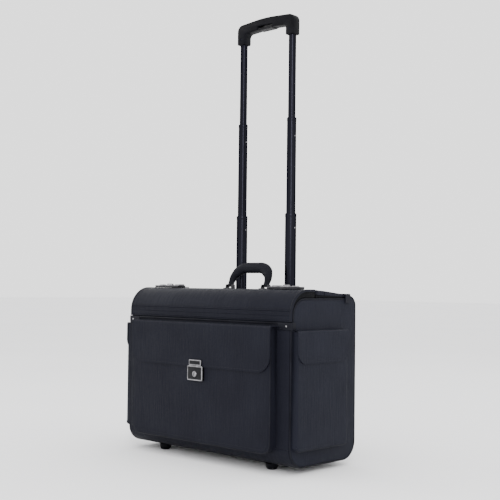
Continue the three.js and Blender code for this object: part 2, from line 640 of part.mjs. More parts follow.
function addRearLid() {
  const lid = new THREE.Group();
  model.add(lid);
  const front = LID_SEAM + SEAM_GAP / 2;
  const back = LID_HINGE - GAP;
  const slab = new THREE.Shape();
  slab.moveTo(front, CASE_HEIGHT - LID_THICKNESS);
  slab.lineTo(back, REAR_TOP - LID_BACK_THICKNESS);
  slab.lineTo(back, REAR_TOP);
  const crownPull = (CASE_HEIGHT + REAR_TOP) / 2 + 2 * LID_CROWN;
  slab.quadraticCurveTo((front + back) / 2, crownPull, front, CASE_HEIGHT);
  slab.closePath();
  piece(lid, "rear_lid", alongX(slab, -HALF_WIDTH, HALF_WIDTH), leatherette);

  for (const [name, side] of sides) {
    const hasp = block(-HASP_WIDTH / 2, HASP_WIDTH / 2, 0, HASP_LENGTH, 0, HASP_THICKNESS);
    piece(lid, `${name}_hasp`, hasp, nickel, side * (LOCK_CENTRE - HASP_PLACE), front,
      lidTop(front + HASP_LENGTH) + GAP);
  }
  addCarryHandle(lid);

  // A riveted tab on each end holds the back of the lid's hinge line.
  for (const [name, side] of sides) {
    const x = side * (PIPING_FACE + GAP + TAB_THICKNESS / 2);
    const tabFront = LID_HINGE - REAR_TAB_LEAD;
    const tab = block(-TAB_THICKNESS / 2, TAB_THICKNESS / 2, tabFront, tabFront + REAR_TAB_DEPTH,
      END_REAR_TOP - PIPING - REAR_TAB_DROP, END_REAR_TOP + REAR_TAB_RISE);
    piece(model, `${name}_rear_tab`, tab, edging, x);
  }
}

function addCarryHandle(lid) {
  // The mounts and handle are seated square to the lid's slope where they stand.
  const reach = MOUNT_DEPTH / 2;
  const drop = lidTop(HANDLE_PIVOT_Y + reach) - lidTop(HANDLE_PIVOT_Y - reach);
  const seat = new THREE.Group();
  seat.position.set(0, HANDLE_PIVOT_Y, lidTop(HANDLE_PIVOT_Y) + GAP);
  seat.rotation.x = Math.atan(drop / MOUNT_DEPTH);
  lid.add(seat);
  const rise = MOUNT_PLATE + RUNNING + HANDLE_EYE;
  const armX = HANDLE_HALF_WIDTH - HANDLE_ARM / 2;

  // Each mount is a plate with two ears and the pin between them.
  for (const [name, side] of sides) {
    const ear = HANDLE_ARM / 2 + RUNNING;
    const plate = block(-ear - MOUNT_EAR, ear + MOUNT_EAR, -MOUNT_DEPTH / 2, MOUNT_DEPTH / 2,
      0, MOUNT_PLATE);
    const ears = [-1, 1].map((edge) => {
      const corners = [
        [-MOUNT_EAR_FOOT / 2, MOUNT_PLATE - WELD, 0], [MOUNT_EAR_FOOT / 2, MOUNT_PLATE - WELD, 0],
        [MOUNT_EAR_TIP / 2, rise + MOUNT_EAR_RISE, MOUNT_EAR_RADIUS],
        [-MOUNT_EAR_TIP / 2, rise + MOUNT_EAR_RISE, MOUNT_EAR_RADIUS],
      ];
      const flat = alongX(outline(corners), -MOUNT_EAR / 2, MOUNT_EAR / 2);
      return flat.translate(edge * (ear + MOUNT_EAR / 2), 0, 0);
    });
    const pin = rod(PIN_RADIUS, -ear - MOUNT_EAR / 2, ear + MOUNT_EAR / 2, "x")
      .translate(0, 0, rise);
    piece(seat, `${name}_handle_mount`, join(plate, ...ears, pin), darkMetal, side * armX);
  }

  // The handle is drawn upright about its pins and then leant back.
  const inner = HANDLE_HALF_WIDTH - HANDLE_ARM;
  const under = HANDLE_TOP - HANDLE_GRIP;
  const corners = [
    [-HANDLE_HALF_WIDTH, 0, 0],
    [-inner, 0, 0],
    [-inner, under, HANDLE_INNER_RADIUS],
    [inner, under, HANDLE_INNER_RADIUS],
    [inner, 0, 0],
    [HANDLE_HALF_WIDTH, 0, 0],
    [HANDLE_HALF_WIDTH, HANDLE_TOP, HANDLE_OUTER_RADIUS],
    [-HANDLE_HALF_WIDTH, HANDLE_TOP, HANDLE_OUTER_RADIUS],
  ];
  const bow = alongY(outline(corners), -HANDLE_DEPTH / 2, HANDLE_DEPTH / 2);
  const wide = HANDLE_HALF_WIDTH + PAST;
  const thinned = cut(bow,
    block(-wide, wide, -HANDLE_DEPTH, -HANDLE_EYE, -PAST, HANDLE_THINNING),
    block(-wide, wide, HANDLE_EYE, HANDLE_DEPTH, -PAST, HANDLE_THINNING));
  const ends = sides.map(([, side]) =>
    rod(HANDLE_EYE, -HANDLE_ARM / 2, HANDLE_ARM / 2, "x").translate(side * armX, 0, 0));
  const eye = rod(PIN_RADIUS + RUNNING, -wide, wide, "x");
  const handle = new THREE.Group();
  handle.position.z = rise;
  handle.rotation.x = -THREE.MathUtils.degToRad(HANDLE_LEAN) - seat.rotation.x;
  seat.add(handle);
  piece(handle, "carry_handle", cut(join(thinned, ...ends), eye), leatherette);
}

// ---------------------------------------------------------------- front pocket
function addFrontPocket() {
  const half = POCKET_WIDTH / 2;
  const top = POCKET_TOP - POCKET_FLAP_THICKNESS - 2 * GAP;
  const bag = [
    [-half, POCKET_BOTTOM, POCKET_RADIUS], [half, POCKET_BOTTOM, POCKET_RADIUS],
    [half, top, 0], [-half, top, 0],
  ];
  const room = inset(bag, POCKET_WALL);
  room[2][1] = top + PAST;
  room[3][1] = top + PAST;
  const pocket = cut(
    alongY(outline(bag), POCKET_FRONT, -HALF_DEPTH - GAP),
    alongY(outline(room), POCKET_FRONT + POCKET_WALL, -HALF_DEPTH - GAP - POCKET_WALL),
  );
  piece(model, "front_pocket", pocket, leatherette);

  const wide = half + POCKET_FLAP_LAP;
  const leaf = [
    [-wide, POCKET_FLAP_EDGE, POCKET_FLAP_RADIUS], [wide, POCKET_FLAP_EDGE, POCKET_FLAP_RADIUS],
    [wide, POCKET_TOP, 0], [-wide, POCKET_TOP, 0],
  ];
  const flap = join(
    alongY(outline(leaf), FLAP_FRONT, FLAP_FRONT + POCKET_FLAP_THICKNESS),
    block(-wide, wide, FLAP_FRONT + 1, FRONT_HINGE_Y - GAP,
      POCKET_TOP - POCKET_FLAP_THICKNESS, POCKET_TOP),
  );
  const group = new THREE.Group();
  model.add(group);
  piece(group, "front_pocket_flap", flap, leatherette);
  const haspHalf = KEY_HASP_WIDTH / 2;
  const haspPlate = outline([
    [-haspHalf, 0, KEY_HASP_RADIUS], [haspHalf, 0, KEY_HASP_RADIUS],
    [haspHalf, KEY_HASP_HEIGHT, KEY_HASP_RADIUS], [-haspHalf, KEY_HASP_HEIGHT, KEY_HASP_RADIUS],
  ]);
  const hasp = alongY(haspPlate, -KEY_HASP_THICKNESS, 0);
  const lockTop = POCKET_FLAP_EDGE + KEY_LOCK_LAP;
  piece(group, "key_lock_hasp", hasp, nickel, 0, FLAP_FRONT - GAP, lockTop + RUNNING);

  const halfLock = KEY_LOCK_WIDTH / 2;
  const plate = outline([
    [-halfLock, -KEY_LOCK_HEIGHT, KEY_LOCK_RADIUS],
    [halfLock, -KEY_LOCK_HEIGHT, KEY_LOCK_RADIUS],
    [halfLock, 0, KEY_LOCK_RADIUS], [-halfLock, 0, KEY_LOCK_RADIUS],
  ]);
  const keyZ = -KEY_DROP;
  const lockBody = cut(
    alongY(plate, -KEY_LOCK_DEPTH, 0),
    // The flap's edge lies over the top of the lock's back.
    block(-halfLock - 1, halfLock + 1, -POCKET_FLAP_THICKNESS - 2 * GAP, 1,
      POCKET_FLAP_EDGE - lockTop - GAP, 1),
    rod(KEY_RADIUS + RUNNING, -KEY_LOCK_DEPTH - 1, -KEY_SEAT, "y").translate(0, 0, keyZ),
  );
  piece(model, "key_lock_body", lockBody, darkMetal, 0, POCKET_FRONT - GAP, lockTop);
  const keyway = block(-KEYWAY_WIDTH / 2, KEYWAY_WIDTH / 2,
    -KEY_LOCK_DEPTH - KEY_PROUD - 1, -KEY_LOCK_DEPTH + 1, -KEYWAY_HEIGHT / 2, KEYWAY_HEIGHT / 2);
  const cylinder = cut(
    rod(KEY_RADIUS, -KEY_LOCK_DEPTH - KEY_PROUD, -KEY_SEAT - GAP, "y"), keyway);
  piece(model, "key_cylinder", cylinder, nickel, 0, POCKET_FRONT - GAP, lockTop + keyZ);
}

// ---------------------------------------------------------------- end pockets
function addEndPockets() {
  const top = END_POCKET_TOP - END_FLAP_THICKNESS - 2 * GAP;
  const face = HALF_WIDTH + GAP;
  const bag = [
    [END_POCKET_FRONT, END_POCKET_BOTTOM, END_POCKET_RADIUS],
    [END_POCKET_BACK, END_POCKET_BOTTOM, END_POCKET_RADIUS],
    [END_POCKET_BACK, top, 0], [END_POCKET_FRONT, top, 0],
  ];
  const room = inset(bag, POCKET_WALL);
  room[2][1] = top + PAST;
  room[3][1] = top + PAST;
  const leafFront = END_POCKET_FRONT - END_FLAP_LAP;
  const leafBack = END_POCKET_BACK + END_FLAP_LAP;
  const leaf = [
    [leafFront, END_FLAP_EDGE, END_FLAP_RADIUS],
    [leafBack, END_FLAP_EDGE, END_FLAP_RADIUS],
    [leafBack, END_POCKET_TOP, 0], [leafFront, END_POCKET_TOP, 0],
  ];
  // The flap's top strip starts behind the front tab, which it rises past.
  const stripFront = -HALF_DEPTH + TAB_RETURN + 2 * RUNNING;
  for (const [name, side] of sides) {
    const pocket = cut(
      alongX(outline(bag), ...span(side, 0, END_POCKET_DEPTH)),
      alongX(outline(room), ...span(side, POCKET_WALL, END_POCKET_DEPTH - POCKET_WALL)),
    );
    piece(model, `${name}_pocket`, pocket, leatherette, side * face);
    const flapFrom = END_POCKET_DEPTH + GAP;
    const flap = join(
      alongX(outline(leaf), ...span(side, flapFrom, flapFrom + END_FLAP_THICKNESS)),
      block(...span(side, GAP, flapFrom + 1), stripFront, leafBack,
        END_POCKET_TOP - END_FLAP_THICKNESS, END_POCKET_TOP),
    );
    piece(model, `${name}_pocket_flap`, flap, leatherette, side * face);
  }
}

// ---------------------------------------------------------------- wheels and feet
function addRunningGear() {
  for (const [name, side] of sides) {
    const x = side * WHEEL_X;
    // A domed foot with a flat sole.
    const foot = turned([
      [0, -FOOT_HEIGHT], [FOOT_SOLE, -FOOT_HEIGHT], [FOOT_DOME_RADIUS, -FOOT_DOME_DROP],
      [FOOT_RADIUS, -FOOT_SIDE_DROP], [FOOT_RADIUS, -GAP], [0, -GAP],
    ], "z");
    piece(model, `${name}_front_foot`, foot, plastic, side * FOOT_X, FOOT_Y);

    // The housing fills its notch in the boards, flush with the rounded corner.
    const cheek = block(-housingOuter, housingOuter, WHEEL_HOUSING_FRONT, HALF_DEPTH + PAST,
      -PAST, WHEEL_HOUSING_HEIGHT);
    const profile = alongX(outline(bodyCorners), -housingOuter - PAST, housingOuter + PAST);
    const well = rod(WHEEL_ROOM, -housingInner, housingInner, "x")
      .translate(0, WHEEL_Y, WHEEL_Z);
    const axleHole = rod(AXLE_RADIUS + RUNNING, -housingOuter - 1, housingOuter + 1, "x")
      .translate(0, WHEEL_Y, WHEEL_Z);
    piece(model, `${name}_wheel_housing`, cut(overlap(cheek, profile), well, axleHole), plastic, x);

    const axle = rod(AXLE_RADIUS, -housingOuter, housingOuter, "x");
    piece(model, `${name}_axle`, axle, nickel, x, WHEEL_Y, WHEEL_Z);
    const half = WHEEL_WIDTH / 2;
    const bore = AXLE_RADIUS + RUNNING;
    const rim = WHEEL_RADIUS - WHEEL_RIM;
    const shoulder = WHEEL_RADIUS - WHEEL_SHOULDER;
    const wheel = turned([
      [bore, -half], [rim, -half + WHEEL_DISH], [shoulder, -half],
      [WHEEL_RADIUS, -half + TREAD_EDGE], [WHEEL_RADIUS, half - TREAD_EDGE], [shoulder, half],
      [rim, half - WHEEL_DISH], [bore, half], [bore, -half],
    ], "x");
    piece(model, `${name}_wheel`, wheel, rubber, x, WHEEL_Y, WHEEL_Z);
  }
}

addBox();
addRearBeam();
addTrolley();
addFrontFlap();
addRearLid();
addFrontPocket();
addEndPockets();
addRunningGear();

export default model;
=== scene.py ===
import math

import bmesh
import bpy
from mathutils import Matrix, Vector


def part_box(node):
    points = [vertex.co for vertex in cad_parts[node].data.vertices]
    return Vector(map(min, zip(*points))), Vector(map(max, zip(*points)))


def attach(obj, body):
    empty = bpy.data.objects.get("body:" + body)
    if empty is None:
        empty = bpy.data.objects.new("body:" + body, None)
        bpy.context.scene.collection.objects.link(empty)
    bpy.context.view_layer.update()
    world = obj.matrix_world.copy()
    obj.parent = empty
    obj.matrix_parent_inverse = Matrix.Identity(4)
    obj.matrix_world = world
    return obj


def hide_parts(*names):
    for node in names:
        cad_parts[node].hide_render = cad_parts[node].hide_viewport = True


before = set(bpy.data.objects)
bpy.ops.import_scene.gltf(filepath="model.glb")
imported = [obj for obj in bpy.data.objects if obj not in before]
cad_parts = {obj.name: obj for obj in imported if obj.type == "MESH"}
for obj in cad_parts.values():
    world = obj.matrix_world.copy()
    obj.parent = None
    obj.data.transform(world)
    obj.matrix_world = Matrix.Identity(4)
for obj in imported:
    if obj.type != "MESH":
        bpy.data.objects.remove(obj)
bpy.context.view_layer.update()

# ---------------------------------------------------------------- the studio
# A pale floor in an evenly bright room, with a tall narrow lamp at the front right and
# weaker ones overhead, on the left and behind, so that the black covering shows its
# edges and grain.
camera_data = bpy.data.cameras.new("camera")
camera_data.lens = 68.58
camera_data.sensor_width = 36
camera = bpy.data.objects.new("camera", camera_data)
bpy.context.scene.collection.objects.link(camera)
bpy.context.scene.camera = camera
camera.matrix_world = (
    Matrix.Translation((1.44765, -1.48226, 0.3659))
    @ Matrix.Rotation(math.radians(43.462), 4, "Z")
    @ Matrix.Rotation(math.radians(92.162), 4, "X")
    @ Matrix.Rotation(math.radians(0.673), 4, "Z")
)

world = bpy.data.worlds.new("studio")
bpy.context.scene.world = world
world.use_nodes = True
world.node_tree.nodes["Background"].inputs["Color"].default_value = (1, 1, 1, 1)
world.node_tree.nodes["Background"].inputs["Strength"].default_value = 2.0


def lamp(name, place, target, size, power):
    data = bpy.data.lights.new(name, "AREA")
    data.shape = "RECTANGLE"
    data.size, data.size_y = size
    data.energy = power
    thing = bpy.data.objects.new(name, data)
    bpy.context.scene.collection.objects.link(thing)
    thing.location = place
    thing.rotation_euler = (Vector(target) - Vector(place)).to_track_quat("-Z", "Y").to_euler()


lamp("overhead", (0.3, -0.2, 2.6), (0, 0, 0.3), (1.8, 1.4), 7)
lamp("front_right", (1.9, -1.9, 1.5), (0, 0, 0.4), (0.3, 1.8), 44)
lamp("left", (-2.2, -1.0, 1.4), (0, 0, 0.3), (0.9, 1.6), 10)
lamp("behind", (0.6, 2.4, 1.5), (0, 0, 0.4), (1.6, 1.2), 10)


def finish(name, color, roughness, metallic=0.0, specular=0.5):
    material = bpy.data.materials.new(name)
    material.use_nodes = True
    shader = material.node_tree.nodes["Principled BSDF"]
    shader.inputs["Base Color"].default_value = (*color, 1)
    shader.inputs["Roughness"].default_value = roughness
    shader.inputs["Metallic"].default_value = metallic
    shader.inputs["Specular IOR Level"].default_value = specular
    return material


# A texture whose features measure `size` metres along x, y and z.
def pattern(material, kind, size, detail=3.0):
    nodes, links = material.node_tree.nodes, material.node_tree.links
    where = nodes.new("ShaderNodeTexCoord")
    mapping = nodes.new("ShaderNodeMapping")
    mapping.inputs["Scale"].default_value = [1 / step for step in size]
    texture = nodes.new(kind)
    texture.inputs["Scale"].default_value = 1
    if "Detail" in texture.inputs:
        texture.inputs["Detail"].default_value = detail
    links.new(where.outputs["Object"], mapping.inputs["Vector"])
    links.new(mapping.outputs["Vector"], texture.inputs["Vector"])
    return texture.outputs[0]


# Colour that wanders between two tones with a pattern.
def tint(material, source, low, high, start=0.3, stop=0.7):
    nodes, links = material.node_tree.nodes, material.node_tree.links
    ramp = nodes.new("ShaderNodeValToRGB")
    ramp.color_ramp.elements[0].position = start
    ramp.color_ramp.elements[0].color = (*low, 1)
    ramp.color_ramp.elements[1].position = stop
    ramp.color_ramp.elements[1].color = (*high, 1)
    links.new(source, ramp.inputs["Fac"])
    links.new(ramp.outputs["Color"], nodes["Principled BSDF"].inputs["Base Color"])


floor_paint = finish("floor_paint", (0.9, 0.9, 0.9), 0.8, specular=0.1)
tint(floor_paint, pattern(floor_paint, "ShaderNodeTexNoise", (0.8,) * 3),
     (0.89, 0.89, 0.9), (0.91, 0.91, 0.92))
floor_mesh = bmesh.new()
bmesh.ops.create_grid(floor_mesh, x_segments=1, y_segments=1, size=20)
floor_data = bpy.data.meshes.new("floor")
floor_mesh.to_mesh(floor_data)
floor_mesh.free()
floor_data.materials.append(floor_paint)
floor = bpy.data.objects.new("floor", floor_data)
bpy.context.scene.collection.objects.link(floor)


# ---------------------------------------------------------------- the box
# A front board, a floor that curves up at the front and back, and a back board, all
# wrapped in black leatherette whose grain runs down the front, over the top and down
# the back. The wheels' corners are notched out of the floor and the back.
def roughen(material, source, low, high):
    nodes, links = material.node_tree.nodes, material.node_tree.links
    span = nodes.new("ShaderNodeMapRange")
    span.inputs["From Min"].default_value = 0.3
    span.inputs["From Max"].default_value = 0.7
    span.inputs["To Min"].default_value = low
    span.inputs["To Max"].default_value = high
    links.new(source, span.inputs["Value"])
    links.new(span.outputs["Result"], nodes["Principled BSDF"].inputs["Roughness"])


def emboss(material, source, height, strength=1.0):
    nodes, links = material.node_tree.nodes, material.node_tree.links
    normal = nodes["Principled BSDF"].inputs["Normal"]
    bump = nodes.new("ShaderNodeBump")
    bump.inputs["Strength"].default_value = strength
    bump.inputs["Distance"].default_value = height
    if normal.links:
        links.new(normal.links[0].from_socket, bump.inputs["Normal"])
    links.new(source, bump.inputs["Height"])
    links.new(bump.outputs["Normal"], normal)


def leatherette(name, grain, dark=(0.0064, 0.0067, 0.0108), light=(0.0086, 0.0091, 0.0140)):
    material = finish(name, light, 0.55, specular=0.05)
    streaks = pattern(material, "ShaderNodeTexNoise", grain, 4)
    pores = pattern(material, "ShaderNodeTexVoronoi", (0.0011,) * 3)
    scuffs = pattern(material, "ShaderNodeTexNoise", (0.09,) * 3, 5)
    tint(material, scuffs, dark, light)
    roughen(material, streaks, 0.44, 0.66)
    emboss(material, streaks, 0.0009, 0.8)
    emboss(material, pores, 0.00015, 0.4)
    return material


GRAIN_FINE, GRAIN_LONG = 0.0015, 0.034
covering = leatherette("covering", (GRAIN_FINE, GRAIN_LONG, GRAIN_LONG))


# A finished mesh becomes a piece that rides on a body and stands for CAD nodes.
def place(bm, name, material, body, slot, nodes=(), turn=40):
    bmesh.ops.remove_doubles(bm, verts=bm.verts, dist=1e-6)
    bmesh.ops.recalc_face_normals(bm, faces=bm.faces)
    mesh = bpy.data.meshes.new(name)
    bm.to_mesh(mesh)
    bm.free()
    mesh.shade_smooth()
    mesh.set_sharp_from_angle(angle=math.radians(turn))
    mesh.materials.append(material)
    thing = bpy.data.objects.new(name, mesh)
    bpy.context.scene.collection.objects.link(thing)
    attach(thing, body)
    if nodes:
        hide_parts(*nodes)
    return thing


ALONG = {"x": Vector((1, 0, 0)), "y": Vector((0, 1, 0)), "z": Vector((0, 0, 1))}
FLAT = {
    "x": lambda across, up: (0, across, up),
    "y": lambda across, up: (across, 0, up),
    "z": lambda across, up: (across, up, 0),
}


# An outline through corners [across, up, radius], drawn out along an axis, with the rims
# of its two ends rounded over.
def drawn(corners, axis, start, stop, rim=0.0, arc=10):
    bm = bmesh.new()
    verts = [bm.verts.new(FLAT[axis](across, up)) for across, up, _ in corners]
    bm.faces.new(verts)
    for i, (vert, (x, y, radius)) in enumerate(zip(verts, corners)):
        if not radius:
            continue
        before, after = corners[i - 1], corners[(i + 1) % len(corners)]
        back = Vector((before[0] - x, before[1] - y))
        on = Vector((after[0] - x, after[1] - y))
        reach = radius / math.tan(back.angle(on) / 2)
        bmesh.ops.bevel(bm, geom=[vert], offset=reach, affect="VERTICES", segments=arc,
                        profile=0.5, material=-1)
    bmesh.ops.translate(bm, verts=bm.verts, vec=ALONG[axis] * start)
    near = set(bm.verts)
    grown = bmesh.ops.extrude_face_region(bm, geom=bm.faces[:])
    far = {part for part in grown["geom"] if isinstance(part, bmesh.types.BMVert)}
    bmesh.ops.translate(bm, verts=list(far), vec=ALONG[axis] * (stop - start))
    if rim:
        rims = [e for e in bm.edges if set(e.verts) <= near or set(e.verts) <= far]
        bmesh.ops.bevel(bm, geom=rims, offset=rim, affect="EDGES", segments=3,
                        profile=0.5, material=-1)
    return bm


# A block between two corners with every edge rounded over.
def slab(low, high, rim=0.0):
    bm = bmesh.new()
    centre = (Vector(low) + Vector(high)) / 2
    size = Vector(high) - Vector(low)
    shape = Matrix.Translation(centre) @ Matrix.Diagonal((*size, 1))
    bmesh.ops.create_cube(bm, size=1, matrix=shape)
    if rim:
        bmesh.ops.bevel(bm, geom=bm.edges[:], offset=rim, affect="EDGES", segments=3,
                        profile=0.5, material=-1)
    return bm


# Cuts other shapes out of a finished piece.
def carve(thing, *cutters):
    for cutter in cutters:
        data = bpy.data.meshes.new("cutter")
        bmesh.ops.recalc_face_normals(cutter, faces=cutter.faces)
        cutter.to_mesh(data)
        cutter.free()
        tool = bpy.data.objects.new("cutter", data)
        bpy.context.scene.collection.objects.link(tool)
        step = thing.modifiers.new("carve", "BOOLEAN")
        step.operation = "DIFFERENCE"
        step.solver = "EXACT"
        step.object = tool
        bpy.context.view_layer.update()
        shape = thing.evaluated_get(bpy.context.evaluated_depsgraph_get())
        thing.data = bpy.data.meshes.new_from_object(shape)
        thing.modifiers.remove(step)
        bpy.data.objects.remove(tool)
        bpy.data.meshes.remove(data)
    thing.data.set_sharp_from_angle(angle=math.radians(40))
    return thing


tray_low, tray_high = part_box("bottom_tray")
FRONT, BACK, UNDERSIDE, INSIDE = tray_low.y, tray_high.y, tray_low.z, tray_high.x
BOARD, FLOOR_CURVE, GAP, PAST = 0.003, 0.038, 0.0003, 0.01
tray = place(drawn([
    (FRONT, UNDERSIDE + FLOOR_CURVE, 0),
    (FRONT, UNDERSIDE, FLOOR_CURVE - 1e-5),
    (BACK, UNDERSIDE, FLOOR_CURVE - 1e-5),
    (BACK, UNDERSIDE + FLOOR_CURVE, 0),
    (BACK - BOARD, UNDERSIDE + FLOOR_CURVE, 0),
    (BACK - BOARD, UNDERSIDE + BOARD, FLOOR_CURVE - BOARD - 1e-5),
    (FRONT + BOARD, UNDERSIDE + BOARD, FLOOR_CURVE - BOARD - 1e-5),
    (FRONT + BOARD, UNDERSIDE + FLOOR_CURVE, 0),
], "x", -INSIDE, INSIDE, arc=20), "floor_board", covering, "case", "leatherette", ["bottom_tray"])
place(slab(*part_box("front_panel"), 0.0004), "front_board", covering, "case", "leatherette",
      ["front_panel"])
back_board = place(slab(*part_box("back_panel"), 0.0004), "back_board", covering, "case",
                   "leatherette", ["back_panel"])
for side in ("left", "right"):
    low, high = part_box(f"{side}_wheel_housing")
    play = Vector((GAP,) * 3)
    notch = low - play, Vector((high.x, BACK + PAST, high.z)) + play
    carve(tray, slab(notch[0] - Vector((0, 0, PAST)), notch[1]))
    carve(back_board, slab(*notch))

# The lining closes off the columns' space: woven cloth glued to a thin board.
cloth = finish("lining_cloth", (0.02, 0.02, 0.024), 0.9, specular=0.1)
tint(cloth, pattern(cloth, "ShaderNodeTexNoise", (0.02,) * 3),
     (0.014, 0.014, 0.017), (0.024, 0.024, 0.028))
emboss(cloth, pattern(cloth, "ShaderNodeTexVoronoi", (0.0009,) * 3), 0.0002)


# A CAD node whose shape is right stays, in a better finish.
def refinish(node, material):
    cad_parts[node].data.materials.clear()
    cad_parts[node].data.materials.append(material)


refinish("back_lining", cloth)

# ---------------------------------------------------------------- end panels and piping
# Each end is a covered board, sewn to the wrapped boards with a round piping bead that
# follows its whole outline and steps up behind the lid's hinge line.
end_covering = leatherette("end_covering", (GRAIN_LONG, GRAIN_FINE, GRAIN_LONG),
                           (0.0080, 0.0086, 0.0136), (0.0102, 0.0110, 0.0168))
CASE_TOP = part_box("front_flap")[1].z
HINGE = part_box("front_flap")[0].z
REAR_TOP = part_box("right_piping")[1].z
LID_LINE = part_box("rear_lid")[1].y + GAP
STEP_TOP, STEP_FOOT, FLAP_STEP = LID_LINE + 0.0074, LID_LINE + 0.0014, 0.0055
END_TOP, SHOULDER = CASE_TOP - 0.0165, HINGE - 0.0013
END_OUTLINE = [
    (FRONT, UNDERSIDE, FLOOR_CURVE),
    (BACK, UNDERSIDE, FLOOR_CURVE),
    (BACK, REAR_TOP, 0.022),
    (STEP_TOP, REAR_TOP, 0.006),
    (STEP_FOOT, END_TOP, 0.006),
    (FRONT + FLAP_STEP, END_TOP, 0.034),
    (FRONT + FLAP_STEP, SHOULDER, 0.008),
    (FRONT, SHOULDER - 0.01, 0.008),
]


# The same corners moved inwards by a distance, with their radii to match.
def drawn_in(corners, distance):
    moved = []
    for i, (x, y, radius) in enumerate(corners):
        before, after = Vector(corners[i - 1][:2]), Vector(corners[(i + 1) % len(corners)][:2])
        arrive = (Vector((x, y)) - before).normalized()
        leave = (after - Vector((x, y))).normalized()
        share = distance / (1 + arrive.dot(leave))
        grow = -distance if arrive.cross(leave) > 0 else distance
        moved.append((x - (arrive.y + leave.y) * share, y + (arrive.x + leave.x) * share,
                      max(radius + grow, 0.0005) if radius else 0))
    return moved


# The points of a rounded outline, in order round it.
def round_line(corners, axis, at, arc=10):
    bm = drawn(corners, axis, at, at + 0.01, arc=arc)
    ends = [f for f in bm.faces if all(abs(v.co.dot(ALONG[axis]) - at) < 1e-6 for v in f.verts)]
    points = [v.co.copy() for v in max(ends, key=lambda f: len(f.verts)).verts]
    bm.free()
    return points


# A round bead that follows a line of points, with its own thickness at each.
def bead(points, radius, closed, thickness=None, sides=3):
    line = bpy.data.curves.new("bead", "CURVE")
    line.dimensions = "3D"
    line.bevel_depth = radius
    line.bevel_resolution = sides
    line.use_fill_caps = not closed
    spline = line.splines.new("POLY")
    spline.points.add(len(points) - 1)
    for i, at in enumerate(points):
        spline.points[i].co = (*at, 1)
        spline.points[i].radius = thickness[i] if thickness else 1
    spline.use_cyclic_u = closed
    holder = bpy.data.objects.new("bead", line)
    bpy.context.scene.collection.objects.link(holder)
    bpy.context.view_layer.update()
    shape = holder.evaluated_get(bpy.context.evaluated_depsgraph_get())
    mesh = bpy.data.meshes.new_from_object(shape)
    bm = bmesh.new()
    bm.from_mesh(mesh)
    bpy.data.objects.remove(holder)
    bpy.data.curves.remove(line)
    bpy.data.meshes.remove(mesh)
    return bm


edging = finish("edge_covering", (0.008, 0.0084, 0.0125), 0.46, specular=0.07)
tint(edging, pattern(edging, "ShaderNodeTexNoise", (0.04,) * 3),
     (0.0036, 0.0038, 0.0062), (0.0086, 0.009, 0.0132))
emboss(edging, pattern(edging, "ShaderNodeTexVoronoi", (0.001,) * 3), 0.00008, 0.4)

PIPING = 0.0017
for side in ("left", "right"):
    low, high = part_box(f"{side}_end_panel")
    place(drawn(drawn_in(END_OUTLINE, 2 * PIPING + GAP), "x", low.x, high.x, 0.0004),
          f"{side}_end_board", end_covering, "case", "leatherette", [f"{side}_end_panel"])
    low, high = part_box(f"{side}_piping")
    line = round_line(drawn_in(END_OUTLINE, PIPING), "x", (low.x + high.x) / 2)
    place(bead(line, PIPING, True), f"{side}_piping_bead", edging, "case", "edging",
          [f"{side}_piping"])

# ---------------------------------------------------------------- rear beams and bezel
# Behind the lid a curved covered beam closes each side of the back. Between them a
# moulded plastic bezel, screwed to the back board, guides the trolley's columns.
low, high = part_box("right_lower_tube")
TUBE_X, TUBE_Y = (low.x + high.x) / 2, (low.y + high.y) / 2
BEAM_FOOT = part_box("right_rear_beam")[0].z
BEAM_CURVE, BEAM_EDGE = 0.0295, 0.009
for side in ("left", "right"):
    low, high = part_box(f"{side}_rear_beam")
    place(drawn([
        (BACK - BOARD, BEAM_FOOT, 0),
        (BACK, BEAM_FOOT, 0),
        (BACK, high.z, BEAM_CURVE),
        (low.y, high.z, 0.001),
        (low.y, high.z - BEAM_EDGE, 0),
    ], "x", low.x, high.x, 0.0004, arc=16), f"{side}_back_beam", covering, "case",
        "leatherette", [f"{side}_rear_beam"])

plastic = finish("moulded_plastic", (0.003, 0.003, 0.0045), 0.5, specular=0.06)
tint(plastic, pattern(plastic, "ShaderNodeTexNoise", (0.03,) * 3),
     (0.0016, 0.0016, 0.0026), (0.0038, 0.0038, 0.0056))
roughen(plastic, pattern(plastic, "ShaderNodeTexNoise", (0.012,) * 3), 0.42, 0.58)
emboss(plastic, pattern(plastic, "ShaderNodeTexNoise", (0.0005,) * 3, 2), 0.00005, 0.5)


# A profile of [radius, along] points, spun about an axis through `centre`.
def turned(profile, axis, centre=(0, 0, 0), steps=48):
    bm = bmesh.new()
    across = ALONG["z"] if axis != "z" else ALONG["x"]
    verts = [bm.verts.new(across * radius + ALONG[axis] * along) for radius, along in profile]
    edges = [bm.edges.new(pair) for pair in zip(verts, verts[1:])]
    bmesh.ops.spin(bm, geom=verts + edges, cent=(0, 0, 0), axis=ALONG[axis], dvec=(0, 0, 0),
                   angle=math.tau, steps=steps, use_merge=True)
    bmesh.ops.remove_doubles(bm, verts=bm.verts, dist=1e-6)
    bmesh.ops.recalc_face_normals(bm, faces=bm.faces)
    bmesh.ops.translate(bm, verts=bm.verts, vec=centre)
    return bm


# Several shapes as one.
def together(*parts):
    whole = parts[0]
    for part in parts[1:]:
        spare = bpy.data.meshes.new("spare")
        part.to_mesh(spare)
        part.free()
        whole.from_mesh(spare)
        bpy.data.meshes.remove(spare)
    return whole


